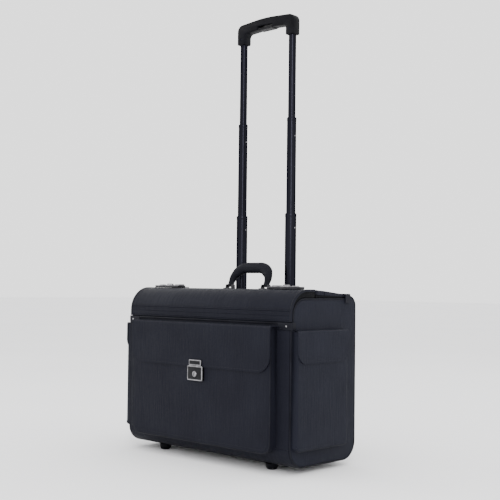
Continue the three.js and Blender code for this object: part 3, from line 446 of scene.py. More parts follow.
low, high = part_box("trolley_bezel")
BEZEL_CURVE, COLUMN_BORE = 0.016, 0.0127
bezel = place(drawn([
    (low.y, low.z, 0),
    (BACK - BOARD - GAP, low.z, 0),
    (BACK - BOARD - GAP, BEAM_FOOT + GAP, 0),
    (BACK, BEAM_FOOT + GAP, 0),
    (BACK, high.z, BEZEL_CURVE),
    (low.y, high.z, 0.0012),
], "x", low.x, high.x, 0.0008, arc=12), "bezel", plastic, "case", "black_plastic", ["trolley_bezel"])
for x in (-TUBE_X, TUBE_X):
    carve(bezel, turned([(0, low.z - PAST), (COLUMN_BORE, low.z - PAST),
                         (COLUMN_BORE, high.z + PAST), (0, high.z + PAST)], "z", (x, TUBE_Y, 0)))

# ---------------------------------------------------------------- trolley handle
# Two telescoping columns of black lacquered tube, three stages each. A pressed collar
# caps the lower two stages, and a moulded grip with a release button joins the tops.
lacquer = finish("black_lacquer", (0.012, 0.012, 0.016), 0.26, metallic=1.0)
lacquer_shader = lacquer.node_tree.nodes["Principled BSDF"]
lacquer_shader.inputs["Specular Tint"].default_value = (0.06, 0.06, 0.07, 1)
tint(lacquer, pattern(lacquer, "ShaderNodeTexNoise", (0.02, 0.02, 0.3)),
     (0.008, 0.008, 0.0115), (0.014, 0.014, 0.019))
roughen(lacquer, pattern(lacquer, "ShaderNodeTexNoise", (0.02, 0.02, 0.3)), 0.22, 0.3)

nickel = finish("nickel_plate", (0.5, 0.49, 0.5), 0.28, metallic=1.0)
tint(nickel, pattern(nickel, "ShaderNodeTexNoise", (0.006,) * 3),
     (0.15, 0.148, 0.155), (0.27, 0.265, 0.275))
roughen(nickel, pattern(nickel, "ShaderNodeTexNoise", (0.0006, 0.012, 0.012)), 0.2, 0.38)

TUBE_WALL, COLLAR_HEIGHT, COLLAR_PROUD = 0.00165, 0.007, 0.0003
PIN_DROP = {"lower": 0.031, "middle": 0.04}
COLLAR_BORE = {"lower": 0.0106, "middle": 0.00855}
for stage in ("lower", "middle", "upper"):
    for side in ("left", "right"):
        low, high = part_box(f"{side}_{stage}_tube")
        x, radius = (low.x + high.x) / 2, (high.x - low.x) / 2
        bore = radius - TUBE_WALL
        place(turned([(bore, low.z), (radius, low.z), (radius, high.z - 0.0006),
                      (radius - 0.0006, high.z), (bore, high.z), (bore, low.z)], "z",
                     (x, TUBE_Y, 0)),
              f"{side}_{stage}_column", lacquer, f"{stage}_stage", "black_tube",
              [f"{side}_{stage}_tube"])
        if stage == "upper":
            continue
        top, reach = high.z, radius + COLLAR_PROUD
        foot, lip, skin = top - COLLAR_HEIGHT, COLLAR_BORE[stage], radius + 0.0001
        place(turned([(skin, foot), (reach, foot + 0.0006), (reach, top - 0.0002),
                      (reach - 0.0006, top + 0.0008), (lip, top + 0.0008), (lip, top + 0.0001),
                      (skin, top + 0.0001), (skin, foot)], "z", (x, TUBE_Y, 0)),
              f"{side}_{stage}_collar", lacquer, f"{stage}_stage", "black_tube")
        # The spring pin that locks this stage to the one inside shows as a small button.
        pin = turned([(0, 0.0003), (0.0011, 0.0002), (0.0016, -0.0002), (0.0016, -0.0012),
                      (0, -0.0012)], "x", (x + radius, TUBE_Y, top - PIN_DROP[stage]), 20)
        place(pin, f"{side}_{stage}_pin", nickel, f"{stage}_stage", "nickel")
for side in ("left", "right"):
    refinish(f"{side}_guide_tube", lacquer)

low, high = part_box("trolley_grip")
OUTER, INNER, FOOT = high.x, high.x - 0.0228, low.z
LEG_TOP, UNDER, BAR_TOP, NOTCH_TOP = FOOT + 0.024, FOOT + 0.026, FOOT + 0.045, FOOT + 0.0341
NOTCH, NOTCH_LAND, LEG_CURVE, THROAT, CORNER = 0.0221, 0.004, 0.0034, 0.009, 0.015
ARCH, ARCH_CURVE, SOCKET, SOCKET_TOP = 0.0065, 0.35, 0.00855, FOOT + 0.0183
grip = place(drawn([
    (-OUTER, FOOT, LEG_CURVE),
    (-INNER, FOOT, LEG_CURVE),
    (-INNER, LEG_TOP, THROAT),
    (-NOTCH - NOTCH_LAND, UNDER, 0),
    (-NOTCH, UNDER, 0),
    (-NOTCH, NOTCH_TOP, 0),
    (NOTCH, NOTCH_TOP, 0),
    (NOTCH, UNDER, 0),
    (NOTCH + NOTCH_LAND, UNDER, 0),
    (INNER, LEG_TOP, THROAT),
    (INNER, FOOT, LEG_CURVE),
    (OUTER, FOOT, LEG_CURVE),
    (OUTER, BAR_TOP, CORNER),
    (0, BAR_TOP + ARCH, ARCH_CURVE),
    (-OUTER, BAR_TOP, CORNER),
], "y", low.y, high.y, 0.003), "grip", plastic, "upper_stage", "black_plastic", ["trolley_grip"])
for x in (-TUBE_X, TUBE_X):
    carve(grip, turned([(0, FOOT - PAST), (SOCKET, FOOT - PAST), (SOCKET, SOCKET_TOP),
                        (0, SOCKET_TOP)], "z", (x, TUBE_Y, 0)))
    for name, face in (("front", low.y), ("back", high.y)):
        hand = -1 if name == "front" else 1
        screw = turned([(0, 0.0004 * hand), (0.0022, 0.0004 * hand), (0.0026, 0),
                        (0.0026, -0.001 * hand), (0, -0.001 * hand)], "y",
                       (x, face, FOOT + 0.013), 24)
        end = "left" if x < 0 else "right"
        place(screw, f"{end}_grip_screw_{name}", lacquer, "upper_stage", "black_plastic")

button_plastic = finish("button_moulding", (0.006, 0.006, 0.0075), 0.46, specular=0.1)
tint(button_plastic, pattern(button_plastic, "ShaderNodeTexNoise", (0.02,) * 3),
     (0.004, 0.004, 0.005), (0.0075, 0.0075, 0.0092))
emboss(button_plastic, pattern(button_plastic, "ShaderNodeTexWave", (0.0014, 1, 1)), 0.0003, 0.6)
place(slab(*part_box("release_button"), 0.0013), "grip_button", button_plastic, "release_button",
      "button_plastic", ["release_button"])

# ---------------------------------------------------------------- front flap
# The front half of the top is one curved board, covered and hinged along the front. A
# stitched bead and a cheek finish each end, and three sewn welts stiffen the edge by
# the hinge.
low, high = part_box("front_flap")
SEAM, FLAP_BOARD, FLAP_CURVE = high.y, 0.004, 0.05
place(drawn([
    (FRONT, HINGE, 0.0015),
    (FRONT + FLAP_BOARD, HINGE, 0),
    (FRONT + FLAP_BOARD, CASE_TOP - FLAP_BOARD, FLAP_CURVE - FLAP_BOARD),
    (SEAM, CASE_TOP - FLAP_BOARD, 0),
    (SEAM, CASE_TOP, 0.0015),
    (FRONT, CASE_TOP, FLAP_CURVE),
], "x", low.x, high.x, 0.001, arc=20), "flap_board", covering, "front_flap", "leatherette",
    ["front_flap"])


# The line over the outside of the flap, from its lower edge to its rear edge.
def over_flap(x, proud, begin, end):
    line = [Vector((x, FRONT - proud, begin))]
    for i in range(25):
        turn = math.radians(90) * i / 24
        line.append(Vector((x, FRONT + FLAP_CURVE - (FLAP_CURVE + proud) * math.cos(turn),
                            CASE_TOP - FLAP_CURVE + (FLAP_CURVE + proud) * math.sin(turn))))
    line.append(Vector((x, end, CASE_TOP + proud)))
    return line


for hand, side in ((-1, "left"), (1, "right")):
    line = over_flap(hand * (high.x - 0.0022), -0.0009, HINGE + 0.001, SEAM - 0.001)
    place(bead(line, 0.0019, False), f"{side}_flap_bead", edging, "front_flap", "edging")

welts = [bead([(-0.238, FRONT + 0.0005, z), (0.238, FRONT + 0.0005, z)], 0.0012, False)
         for z in (HINGE + 0.0045, HINGE + 0.0135, HINGE + 0.0225)]
place(together(*welts), "flap_welts", covering, "front_flap", "leatherette")

thread = finish("thread", (0.012, 0.012, 0.016), 0.6, specular=0.1)
tint(thread, pattern(thread, "ShaderNodeTexNoise", (0.004,) * 3),
     (0.008, 0.008, 0.0115), (0.017, 0.017, 0.022))
emboss(thread, pattern(thread, "ShaderNodeTexWave", (0.0005,) * 3), 0.0001)
STITCH_PITCH, STITCH_LENGTH = 0.0042, 0.0027


# A row of lockstitches sunk into the covering along a line of points.
def stitched(name, lines, outward, body):
    bm = bmesh.new()
    for line in lines:
        spare = 0.0
        for start, stop in zip(line, line[1:]):
            step = Vector(stop) - Vector(start)
            if step.length < 1e-7:
                continue
            along = step.normalized()
            out = Vector(outward(Vector(start))) if callable(outward) else Vector(outward)
            turn = Matrix((along, out.cross(along), out)).transposed().to_4x4()
            shape = Matrix.Diagonal((STITCH_LENGTH / 2, 0.00045, 0.0003, 1))
            walked = spare
            while walked < step.length:
                at = Matrix.Translation(Vector(start) + along * walked)
                bmesh.ops.create_icosphere(bm, subdivisions=1, radius=1, matrix=at @ turn @ shape)
                walked += STITCH_PITCH
            spare = walked - step.length
    return place(bm, name, thread, body, "edging", turn=180)


# On the curve the stitches face away from its centre.
def flap_outward(at):
    off = Vector((0, min(at.y - FRONT - FLAP_CURVE, 0), max(at.z - CASE_TOP + FLAP_CURVE, 0)))
    return off.normalized()


ends = [over_flap(hand * (high.x - 0.0075), 0, HINGE + 0.026, SEAM - 0.006) for hand in (-1, 1)]
stitched("flap_end_stitches", ends, flap_outward, "front_flap")

# Each end is closed by a cheek that hangs from the board to just above the
# piping, and the lid has the same. The cheeks' covering is darkened almost to black:
# painted shade for the unlit ends under the top.
cheek_shade_painted_covering = leatherette("cheek_shade_painted_covering", (GRAIN_LONG, GRAIN_FINE, GRAIN_LONG),
                             (0.0010, 0.0011, 0.0017), (0.0016, 0.0018, 0.0026))
CHEEK_INNER, CHEEK_OUTER, CHEEK_FOOT, SUNK = 0.2368, 0.2406, END_TOP + 0.001, 0.0005
CHEEK_FRONT, CHEEK_START = FRONT + FLAP_STEP - 0.0009, HINGE + 0.01
for hand, side in ((-1, "left"), (1, "right")):
    cheek = [
        (CHEEK_FRONT, CHEEK_START, 0),
        (CHEEK_FRONT, CHEEK_FOOT, 0.035),
        (SEAM - 0.0008, CHEEK_FOOT, 0),
        (SEAM - 0.0008, CASE_TOP - FLAP_BOARD + SUNK, 0),
        (FRONT + FLAP_BOARD - SUNK, CASE_TOP - FLAP_BOARD + SUNK, FLAP_CURVE - FLAP_BOARD),
        (FRONT + FLAP_BOARD - SUNK, CHEEK_START, 0),
    ]
    place(drawn(cheek, "x", *sorted((hand * CHEEK_INNER, hand * CHEEK_OUTER)), 0.0004, arc=20),
          f"{side}_flap_cheek", cheek_shade_painted_covering, "front_flap", "leatherette")

rows = [[(-0.232, FRONT, z), (0.232, FRONT, z)]
        for z in (HINGE + 0.009, HINGE + 0.018, HINGE + 0.0265)]
stitched("flap_welt_stitches", rows, (0, -1, 0), "front_flap")
stitched("flap_seam_stitches", [[(-0.134, SEAM - 0.004, CASE_TOP), (0.134, SEAM - 0.004, CASE_TOP)]],
         (0, 0, 1), "front_flap")

# ---------------------------------------------------------------- combination locks
# On each end of the flap sits a pressed metal lock: a dark base with three number
# wheels in a framed window, a slide that frees the hasp, and a raised keeper for it.
gunmetal = finish("gunmetal", (0.09, 0.088, 0.092), 0.3, metallic=1.0)
tint(gunmetal, pattern(gunmetal, "ShaderNodeTexNoise", (0.01,) * 3),
     (0.02, 0.02, 0.023), (0.05, 0.049, 0.053))
roughen(gunmetal, pattern(gunmetal, "ShaderNodeTexNoise", (0.008, 0.0005, 0.008)), 0.22, 0.4)
DIAL_RADIUS, DIAL_SIDES, DIAL_RIM = 0.0042, 40, 0.0005
WINDOW, WINDOW_DEPTH, LOCK_FLOOR, RUNNING, SLIDE_TRAVEL = 0.0094, 0.0046, 0.0006, 0.0004, 0.005
for hand, side in ((-1, "left"), (1, "right")):
    low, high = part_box(f"{side}_lock_base")
    middle = (low + high) / 2
    base = place(slab(low, high, 0.0011), f"{side}_lock_plate", gunmetal, "front_flap",
                 "dark_metal", [f"{side}_lock_base"])
    carve(base, slab((middle.x - WINDOW, middle.y - WINDOW_DEPTH, low.z + LOCK_FLOOR),
                     (middle.x + WINDOW, middle.y + WINDOW_DEPTH, high.z + PAST)))
    slide_low, slide_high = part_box(f"{side}_lock_slide")
    start, stop = slide_low.x - RUNNING, slide_high.x + RUNNING
    if hand > 0:
        stop += SLIDE_TRAVEL
    else:
        start -= SLIDE_TRAVEL
    carve(base, slab((start, slide_low.y - RUNNING, low.z + LOCK_FLOOR),
                     (stop, slide_high.y + RUNNING, high.z + PAST)))
    # Four bars frame the window: two along it, and one across each end.
    bars = [(-WINDOW - 0.0012, WINDOW + 0.0012, -0.0062, -0.0047),
            (-WINDOW - 0.0012, WINDOW + 0.0012, 0.0047, 0.0062),
            (-WINDOW - 0.0016, -WINDOW - 0.0002, -0.0062, 0.0062),
            (WINDOW + 0.0002, WINDOW + 0.0016, -0.0062, 0.0062)]
    window = together(*[slab((middle.x + x0, middle.y + y0, high.z - 0.0004),
                             (middle.x + x1, middle.y + y1, high.z + 0.0005), 0.0004)
                        for x0, x1, y0, y1 in bars])
    place(window, f"{side}_lock_window", nickel, "front_flap", "nickel")
    keeper = drawn([
        (middle.y - 0.008, high.z - 0.0002, 0), (middle.y + 0.0105, high.z - 0.0002, 0),
        (middle.y + 0.0105, high.z + 0.0028, 0.0012), (middle.y - 0.003, high.z + 0.0028, 0.004),
    ], "x", middle.x - hand * 0.020, middle.x - hand * 0.036, 0.0006)
    place(keeper, f"{side}_lock_keeper", nickel, "front_flap", "nickel")
    place(slab(slide_low, slide_high, 0.0009), f"{side}_slide", nickel, f"{side}_lock_slide",
          "nickel", [f"{side}_lock_slide"])
    for n in (1, 2, 3):
        low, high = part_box(f"{side}_lock_dial_{n}")
        centre = (low + high) / 2
        half = (high.x - low.x) / 2
        # Every fourth strip round the rim is pressed in, for a fingertip to grip.
        shoulder, land = DIAL_RADIUS - DIAL_RIM, half - DIAL_RIM
        dial = turned([(0, -half), (shoulder, -half), (DIAL_RADIUS, -land), (DIAL_RADIUS, land),
                       (shoulder, half), (0, half)], "x", centre, DIAL_SIDES)
        strips = []
        for face in dial.faces:
            off = face.calc_center_median() - centre
            step = int(math.atan2(off.y, off.z) / math.tau * DIAL_SIDES + 2 * DIAL_SIDES)
            if abs(face.normal.x) < 0.1 and face.calc_area() > 1e-9 and step % 4 == 0:
                strips.append(face)
        bmesh.ops.inset_individual(dial, faces=strips, thickness=0.00008, depth=-0.0003)
        place(dial, f"{side}_dial_{n}", nickel, f"{side}_lock_dial_{n}", "nickel",
              [f"{side}_lock_dial_{n}"])

# ---------------------------------------------------------------- front hinge and tabs
# The flap's hinge is a sewn strip of covering. A folded tab wraps each of its ends round
# the corner of the case, held by a plated rivet.
place(slab(*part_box("front_hinge_strip"), 0.0006), "hinge_strip", edging, "case", "edging",
      ["front_hinge_strip"])


# A plated rivet with a low domed head.
def rivet(at, axis, hand, radius=0.0022):
    profile = [(0, 0.0012), (radius * 0.45, 0.0011), (radius * 0.8, 0.0007), (radius, 0),
               (radius, -0.0008), (0, -0.0008)]
    return turned([(r, along * hand) for r, along in profile], axis, at, 24)


for hand, side in ((-1, "left"), (1, "right")):
    low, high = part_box(f"{side}_front_tab")
    outer, inner = (high.x, low.x) if hand > 0 else (low.x, high.x)
    wall = 0.0016
    corners = [
        (inner, low.y, 0), (outer, low.y, 0.0045), (outer, high.y, 0),
        (outer - hand * wall, high.y, 0), (outer - hand * wall, low.y + wall, 0.0029),
        (inner, low.y + wall, 0),
    ]
    if hand < 0:
        corners.reverse()
    place(drawn(corners, "z", low.z, high.z, 0.0005), f"{side}_wrap_tab", edging, "case",
          "edging", [f"{side}_front_tab"])
    place(rivet((inner + hand * 0.022, low.y, (low.z + high.z) / 2), "y", -1),
          f"{side}_tab_rivet", nickel, "case", "nickel")
    rows = [[(inner + hand * 0.003, low.y, z), (outer - hand * 0.005, low.y, z)]
            for z in (low.z + 0.0022, high.z - 0.0022)]
    stitched(f"{side}_tab_stitches", rows, (0, -1, 0), "case")

# ---------------------------------------------------------------- rear lid
# The rear half of the top is a board padded with thin foam under the covering, crowned
# in the middle and sewn down round its edge. It hinges just in front of the columns.
low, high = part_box("rear_lid")
LID_FRONT, LID_BACK, LID_HALF = low.y, high.y, high.x
LID_CROWN, LID_FALL, LID_BOARD, LID_BACK_BOARD, LID_SEAM = 0.003, 0.009, 0.01, 0.005, 0.0065


def lid_share(y):
    return (y - LID_FRONT) / (LID_BACK - LID_FRONT)


def lid_top(x, y):
    share, along = lid_share(y), x / LID_HALF
    seam = min(LID_HALF - abs(x), y - LID_FRONT, LID_BACK - y)
    dip = 0.0009 * math.exp(-((seam - LID_SEAM) / 0.0022) ** 2)
    crown = 4 * LID_CROWN * share * (1 - share) * (1 - along ** 16)
    return CASE_TOP - LID_FALL * share + crown - dip


def lid_under(y):
    return CASE_TOP - LID_BOARD - (LID_FALL + LID_BACK_BOARD - LID_BOARD) * lid_share(y)


lid = bmesh.new()
bmesh.ops.create_grid(lid, x_segments=160, y_segments=48, size=0.5)
for vert in lid.verts:
    vert.co.x *= 2 * LID_HALF
    vert.co.y = LID_FRONT + (vert.co.y + 0.5) * (LID_BACK - LID_FRONT)
    vert.co.z = lid_top(vert.co.x, vert.co.y)
grown = bmesh.ops.extrude_face_region(lid, geom=lid.faces[:])
for part in grown["geom"]:
    if isinstance(part, bmesh.types.BMVert):
        part.co.z = lid_under(part.co.y)
rims = [e for e in lid.edges if e.calc_face_angle(0) > math.radians(60)]
bmesh.ops.bevel(lid, geom=rims, offset=0.0016, affect="EDGES", segments=3, profile=0.5, material=-1)
padding = place(lid, "lid_pad", covering, "rear_lid", "leatherette", ["rear_lid"])

# The lid's cheeks take the same near-black covering: painted shade under the lid's edge.
for hand, side in ((-1, "left"), (1, "right")):
    front, back = LID_FRONT + 0.0008, LID_BACK - 0.0008
    cheek = [(front, CHEEK_FOOT, 0), (back, CHEEK_FOOT, 0),
             (back, lid_under(back) + SUNK, 0), (front, lid_under(front) + SUNK, 0)]
    place(drawn(cheek, "x", *sorted((hand * CHEEK_INNER, hand * CHEEK_OUTER)), 0.0004),
          f"{side}_lid_cheek", cheek_shade_painted_covering, "rear_lid", "leatherette")

x, front, back = LID_HALF - LID_SEAM, LID_FRONT + LID_SEAM, LID_BACK - LID_SEAM
steps = [i / 60 for i in range(61)]
seam_line = ([(-x + 2 * x * t, front) for t in steps]
             + [(x, front + (back - front) * t) for t in steps]
             + [(x - 2 * x * t, back) for t in steps]
             + [(-x, back - (back - front) * t) for t in steps])
seam_line = [(across, deep, lid_top(across, deep) + GAP) for across, deep in seam_line]
stitched("lid_stitches", [seam_line], (0, 0, 1), "rear_lid")

# ---------------------------------------------------------------- hasps and handle mounts
# Each lock's hasp is a plated tongue hinged on the lid's edge. The carry handle's mounts
# are pressed steel plates with two ears and a pin.
for side in ("left", "right"):
    low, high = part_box(f"{side}_hasp")
    tongue = together(
        slab(low, (high.x, high.y - 0.003, high.z), 0.0006),
        turned([(0, low.x), (0.0011, low.x), (0.0011, high.x), (0, high.x)], "x",
               (0, high.y - 0.0018, (low.z + high.z) / 2), 16),
    )
    place(tongue, f"{side}_hasp_tongue", nickel, f"{side}_hasp", "nickel", [f"{side}_hasp"])
    refinish(f"{side}_handle_mount", gunmetal)

# ---------------------------------------------------------------- carry handle
# The handle is a steel bow padded with foam and wrapped in covering, thickest where the
# hand goes round it and thin at the pins.
HANDLE_ARM_X, HANDLE_RISE, HANDLE_PIN_Y, HANDLE_PIN_Z = 0.0539, 0.045, 0.03953, 0.36531
handle_covering = leatherette("handle_covering", (GRAIN_LONG, 0.003, 0.003),
                              (0.0054, 0.0056, 0.0082), (0.0080, 0.0082, 0.0116))
HANDLE_BEND, HANDLE_GIRTH, FOOT_DEPTH, PAD_DEPTH = 0.034, 0.0125, 0.005, 0.0085
centre_line = [(-HANDLE_ARM_X, 0), (-HANDLE_ARM_X, 0.004), (-HANDLE_ARM_X, 0.008)]
for i in range(13):
    turn = math.radians(90) * i / 12
    centre_line.append((-HANDLE_ARM_X + HANDLE_BEND * (1 - math.cos(turn)),
                        HANDLE_RISE - HANDLE_BEND + HANDLE_BEND * math.sin(turn)))
crown = HANDLE_ARM_X - HANDLE_BEND
centre_line += [(-crown + 2 * crown * i / 8, HANDLE_RISE) for i in range(1, 8)]
centre_line += [(-x, z) for x, z in reversed(centre_line[:16])]
girth = [0.6 + 0.4 * min(1, (HANDLE_ARM_X - abs(x)) / 0.008) for x, _ in centre_line]
handle = bead([(x, 0, z) for x, z in centre_line], HANDLE_GIRTH, False, girth, sides=8)
# The pad is oval: 17 mm from front to back, and thinner where it goes between the ears.
for vert in handle.verts:
    x, y, z = vert.co
    near = min(range(len(centre_line)), key=lambda i: math.dist(centre_line[i], (x, z)))
    depth = FOOT_DEPTH + (PAD_DEPTH - FOOT_DEPTH) * min(1, max(0, (z - 0.007) / 0.012))
    vert.co.y = y * depth / (HANDLE_GIRTH * girth[near])
lean = (Matrix.Translation((0, HANDLE_PIN_Y, HANDLE_PIN_Z))
        @ Matrix.Rotation(math.radians(-25), 4, "X"))
bmesh.ops.transform(handle, matrix=lean, verts=handle.verts)
handle_pad = place(handle, "handle_pad", handle_covering, "carry_handle", "handle_cover",
                   ["carry_handle"])

# ---------------------------------------------------------------- rear tabs
# A folded tab on each end holds the back of the lid's hinge line. It is glued and sewn
# over the top of the beam and down the end panel.
for hand, side in ((-1, "left"), (1, "right")):
    low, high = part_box(f"{side}_rear_tab")
    outer = high.x if hand > 0 else low.x
    face, tip, fold = outer - hand * 0.002, outer - hand * 0.022, high.z - 0.0013
    corners = [(outer, low.z, 0), (outer, high.z, 0.0028), (tip, high.z, 0), (tip, fold, 0),
               (face, fold, 0.001), (face, low.z, 0)]
    if hand < 0:
        corners.reverse()
    tab = place(drawn(corners, "y", low.y, high.y), f"{side}_lid_tab", edging, "case", "edging",
                [f"{side}_rear_tab"])
    # The fold over the top stops behind the lid.
    room = sorted((face, tip - hand * PAST))
    carve(tab, slab((room[0], low.y - PAST, fold - 0.0027),
                    (room[1], LID_LINE + 0.001, high.z + PAST)))

# ---------------------------------------------------------------- front pocket
# A gusseted pocket for papers, cut from board and sewn to the front, open at the top.
# Its covered front stands slightly proud of a bound edge.
low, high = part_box("front_pocket")
POCKET_HALF, POCKET_LOW, POCKET_TOP, POCKET_FACE = high.x, low.z, high.z, low.y
pocket_outline = [
    (-POCKET_HALF, POCKET_LOW, 0.02), (POCKET_HALF, POCKET_LOW, 0.02),
    (POCKET_HALF, POCKET_TOP, 0), (-POCKET_HALF, POCKET_TOP, 0),
]


# A pocket's shell: closed at the face, sides and back, open at the top. Each step of the
# crown is drawn in from the last by a share of the corners' radius.
def pocket_shell(corners, axis, back, face, name, material, nodes):
    hand = 1 if face > back else -1
    bm = drawn(corners, axis, back, face - hand * 0.0016, arc=12)
    bm.normal_update()
    cap = max(bm.faces, key=lambda f: f.calc_center_median().dot(ALONG[axis]) * hand
              + (10 if abs(f.normal.dot(ALONG[axis])) > 0.9 else 0))
    radius = corners[0][2]
    for share, rise in ((0.07, 0.0009), (0.18, 0.0005), (0.35, 0.0002)):
        bmesh.ops.inset_region(bm, faces=[cap], thickness=share * radius, depth=0,
                               use_even_offset=True)
        bmesh.ops.translate(bm, verts=cap.verts[:], vec=ALONG[axis] * rise * hand)
    top = max(v.co.z for v in bm.verts)
    lid_faces = [f for f in bm.faces if all(abs(v.co.z - top) < 1e-6 for v in f.verts)]
    bmesh.ops.delete(bm, geom=lid_faces, context="FACES")
    thing = place(bm, name, material, "case", "leatherette", nodes)
    wall = thing.modifiers.new("wall", "SOLIDIFY")
    wall.thickness = 0.002
    wall.offset = -1
    wall.use_even_offset = True
    return thing


pocket_shell(pocket_outline, "y", high.y, POCKET_FACE, "pocket_bag", covering, ["front_pocket"])
binding = round_line(pocket_outline, "y", POCKET_FACE + 0.0018)


# The line round an outline from one side of its top edge to the other.
def open_line(points):
    gaps = [(points[i - 1] - points[i]).length for i in range(len(points))]
    first = gaps.index(max(gaps))
    return points[first:] + points[:first]


place(bead(open_line(binding), 0.0014, False), "pocket_binding", edging, "case", "edging")
line = open_line(round_line(drawn_in(pocket_outline, 0.007), "y", POCKET_FACE))
stitched("pocket_stitches", [[p for p in line if p.z < POCKET_TOP - 0.02]], (0, -1, 0), "case")


# ---------------------------------------------------------------- front pocket's flap
# A stiffened leaf folds over the pocket's mouth: it is sewn to the case at the back,
# bends over the top, and hangs down the front with rounded corners and a stitched edge.
def corner_waste(at, up, radius, hand):
    return [
        (at + hand * 0.01, up - 0.01, 0), (at + hand * 0.01, up + radius, 0),
        (at, up + radius, 0), (at, up, radius - 1e-5), (at - hand * radius, up, 0),
        (at - hand * radius, up - 0.01, 0),
    ]


def rounded_rims(thing, width):
    step = thing.modifiers.new("rims", "BEVEL")
    step.width = width
    step.segments = 3
    step.limit_method = "ANGLE"
    step.angle_limit = math.radians(50)
    step.material = -1
    return thing


low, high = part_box("front_pocket_flap")
LEAF = 0.0025
pocket_flap = place(drawn([
    (low.y, low.z, 0), (low.y + LEAF, low.z, 0), (low.y + LEAF, high.z - LEAF, 0.003),
    (high.y, high.z - LEAF, 0), (high.y, high.z, 0), (low.y, high.z, 0.0055),
], "x", low.x, high.x), "pocket_leaf", covering, "front_pocket_flap", "leatherette",
    ["front_pocket_flap"])
for hand, x in ((-1, low.x), (1, high.x)):
    waste = corner_waste(x, low.z, 0.035, hand)
    carve(pocket_flap, drawn(waste, "y", low.y - 0.005, low.y + LEAF + 0.005, arc=14))
rounded_rims(pocket_flap, 0.0008)
leaf_outline = [(low.x, low.z, 0.035), (high.x, low.z, 0.035), (high.x, high.z - 0.008, 0),
                (low.x, high.z - 0.008, 0)]
line = open_line(round_line(drawn_in(leaf_outline, 0.0045), "y", low.y))
stitched("pocket_leaf_stitches_1", [line], (0, -1, 0), "front_pocket_flap")

# ---------------------------------------------------------------- key lock
# A pressed lock closes the flap: a plated hasp riveted to the leaf drops over a lock
# body on the pocket, with a dark enamelled face and a round cylinder.
enamel = finish("lock_enamel", (0.003, 0.003, 0.004), 0.3, specular=0.12)
tint(enamel, pattern(enamel, "ShaderNodeTexNoise", (0.006,) * 3),
     (0.002, 0.002, 0.0028), (0.005, 0.005, 0.0064))
low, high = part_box("key_lock_hasp")


def plate(low, high, radius):
    return [(low.x, low.z, radius), (high.x, low.z, radius), (high.x, high.z, radius),
            (low.x, high.z, radius)]


place(drawn(plate(low, high, 0.002), "y", high.y, low.y, 0.0008), "lock_hasp", nickel,
      "front_pocket_flap", "nickel", ["key_lock_hasp"])
hasp_face = drawn_in(plate(low, high, 0.002), 0.0022)
place(drawn(hasp_face, "y", low.y + 0.0004, low.y - 0.0002, 0.0001),
      "lock_hasp_face", enamel, "front_pocket_flap", "dark_metal")
low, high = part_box("key_lock_body")
body_back = low.y + 0.0034
lock_plate = plate(low, high, 0.003)
lock = place(drawn(lock_plate, "y", body_back, low.y, 0.0011), "lock_case", nickel, "case",
             "dark_metal", ["key_lock_body"])
under_leaf = plate(low, Vector((high.x, 0, high.z - 0.0029)), 0.003)
place(drawn(under_leaf, "y", POCKET_FACE - GAP, body_back + 0.0001), "lock_back", gunmetal,
      "case", "dark_metal")
face = place(drawn(drawn_in(lock_plate, 0.0026), "y", low.y + 0.0004, low.y - 0.0002, 0.0001),
             "lock_face", enamel, "case", "dark_metal")
KEY_RADIUS, KEY_HOLE = 0.006, 0.0064
key_low, key_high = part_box("key_cylinder")
key_centre = Vector((0, 0, (key_low.z + key_high.z) / 2))
for thing in (lock, face):
    carve(thing, turned([(0, key_low.y - PAST), (KEY_HOLE, key_low.y - PAST),
                         (KEY_HOLE, low.y + 0.005), (0, low.y + 0.005)], "y", key_centre))
cylinder = turned([(0, key_low.y), (KEY_RADIUS - 0.0008, key_low.y), (KEY_RADIUS, key_low.y + 0.0008),
                   (KEY_RADIUS, low.y + 0.0032), (0, low.y + 0.0032)], "y", key_centre)
cylinder = place(cylinder, "lock_cylinder", nickel, "key_cylinder", "nickel", ["key_cylinder"])
carve(cylinder, slab((-0.0007, key_low.y - 0.002, key_centre.z - 0.004),
                     (0.0007, key_low.y + 0.0025, key_centre.z + 0.004)))

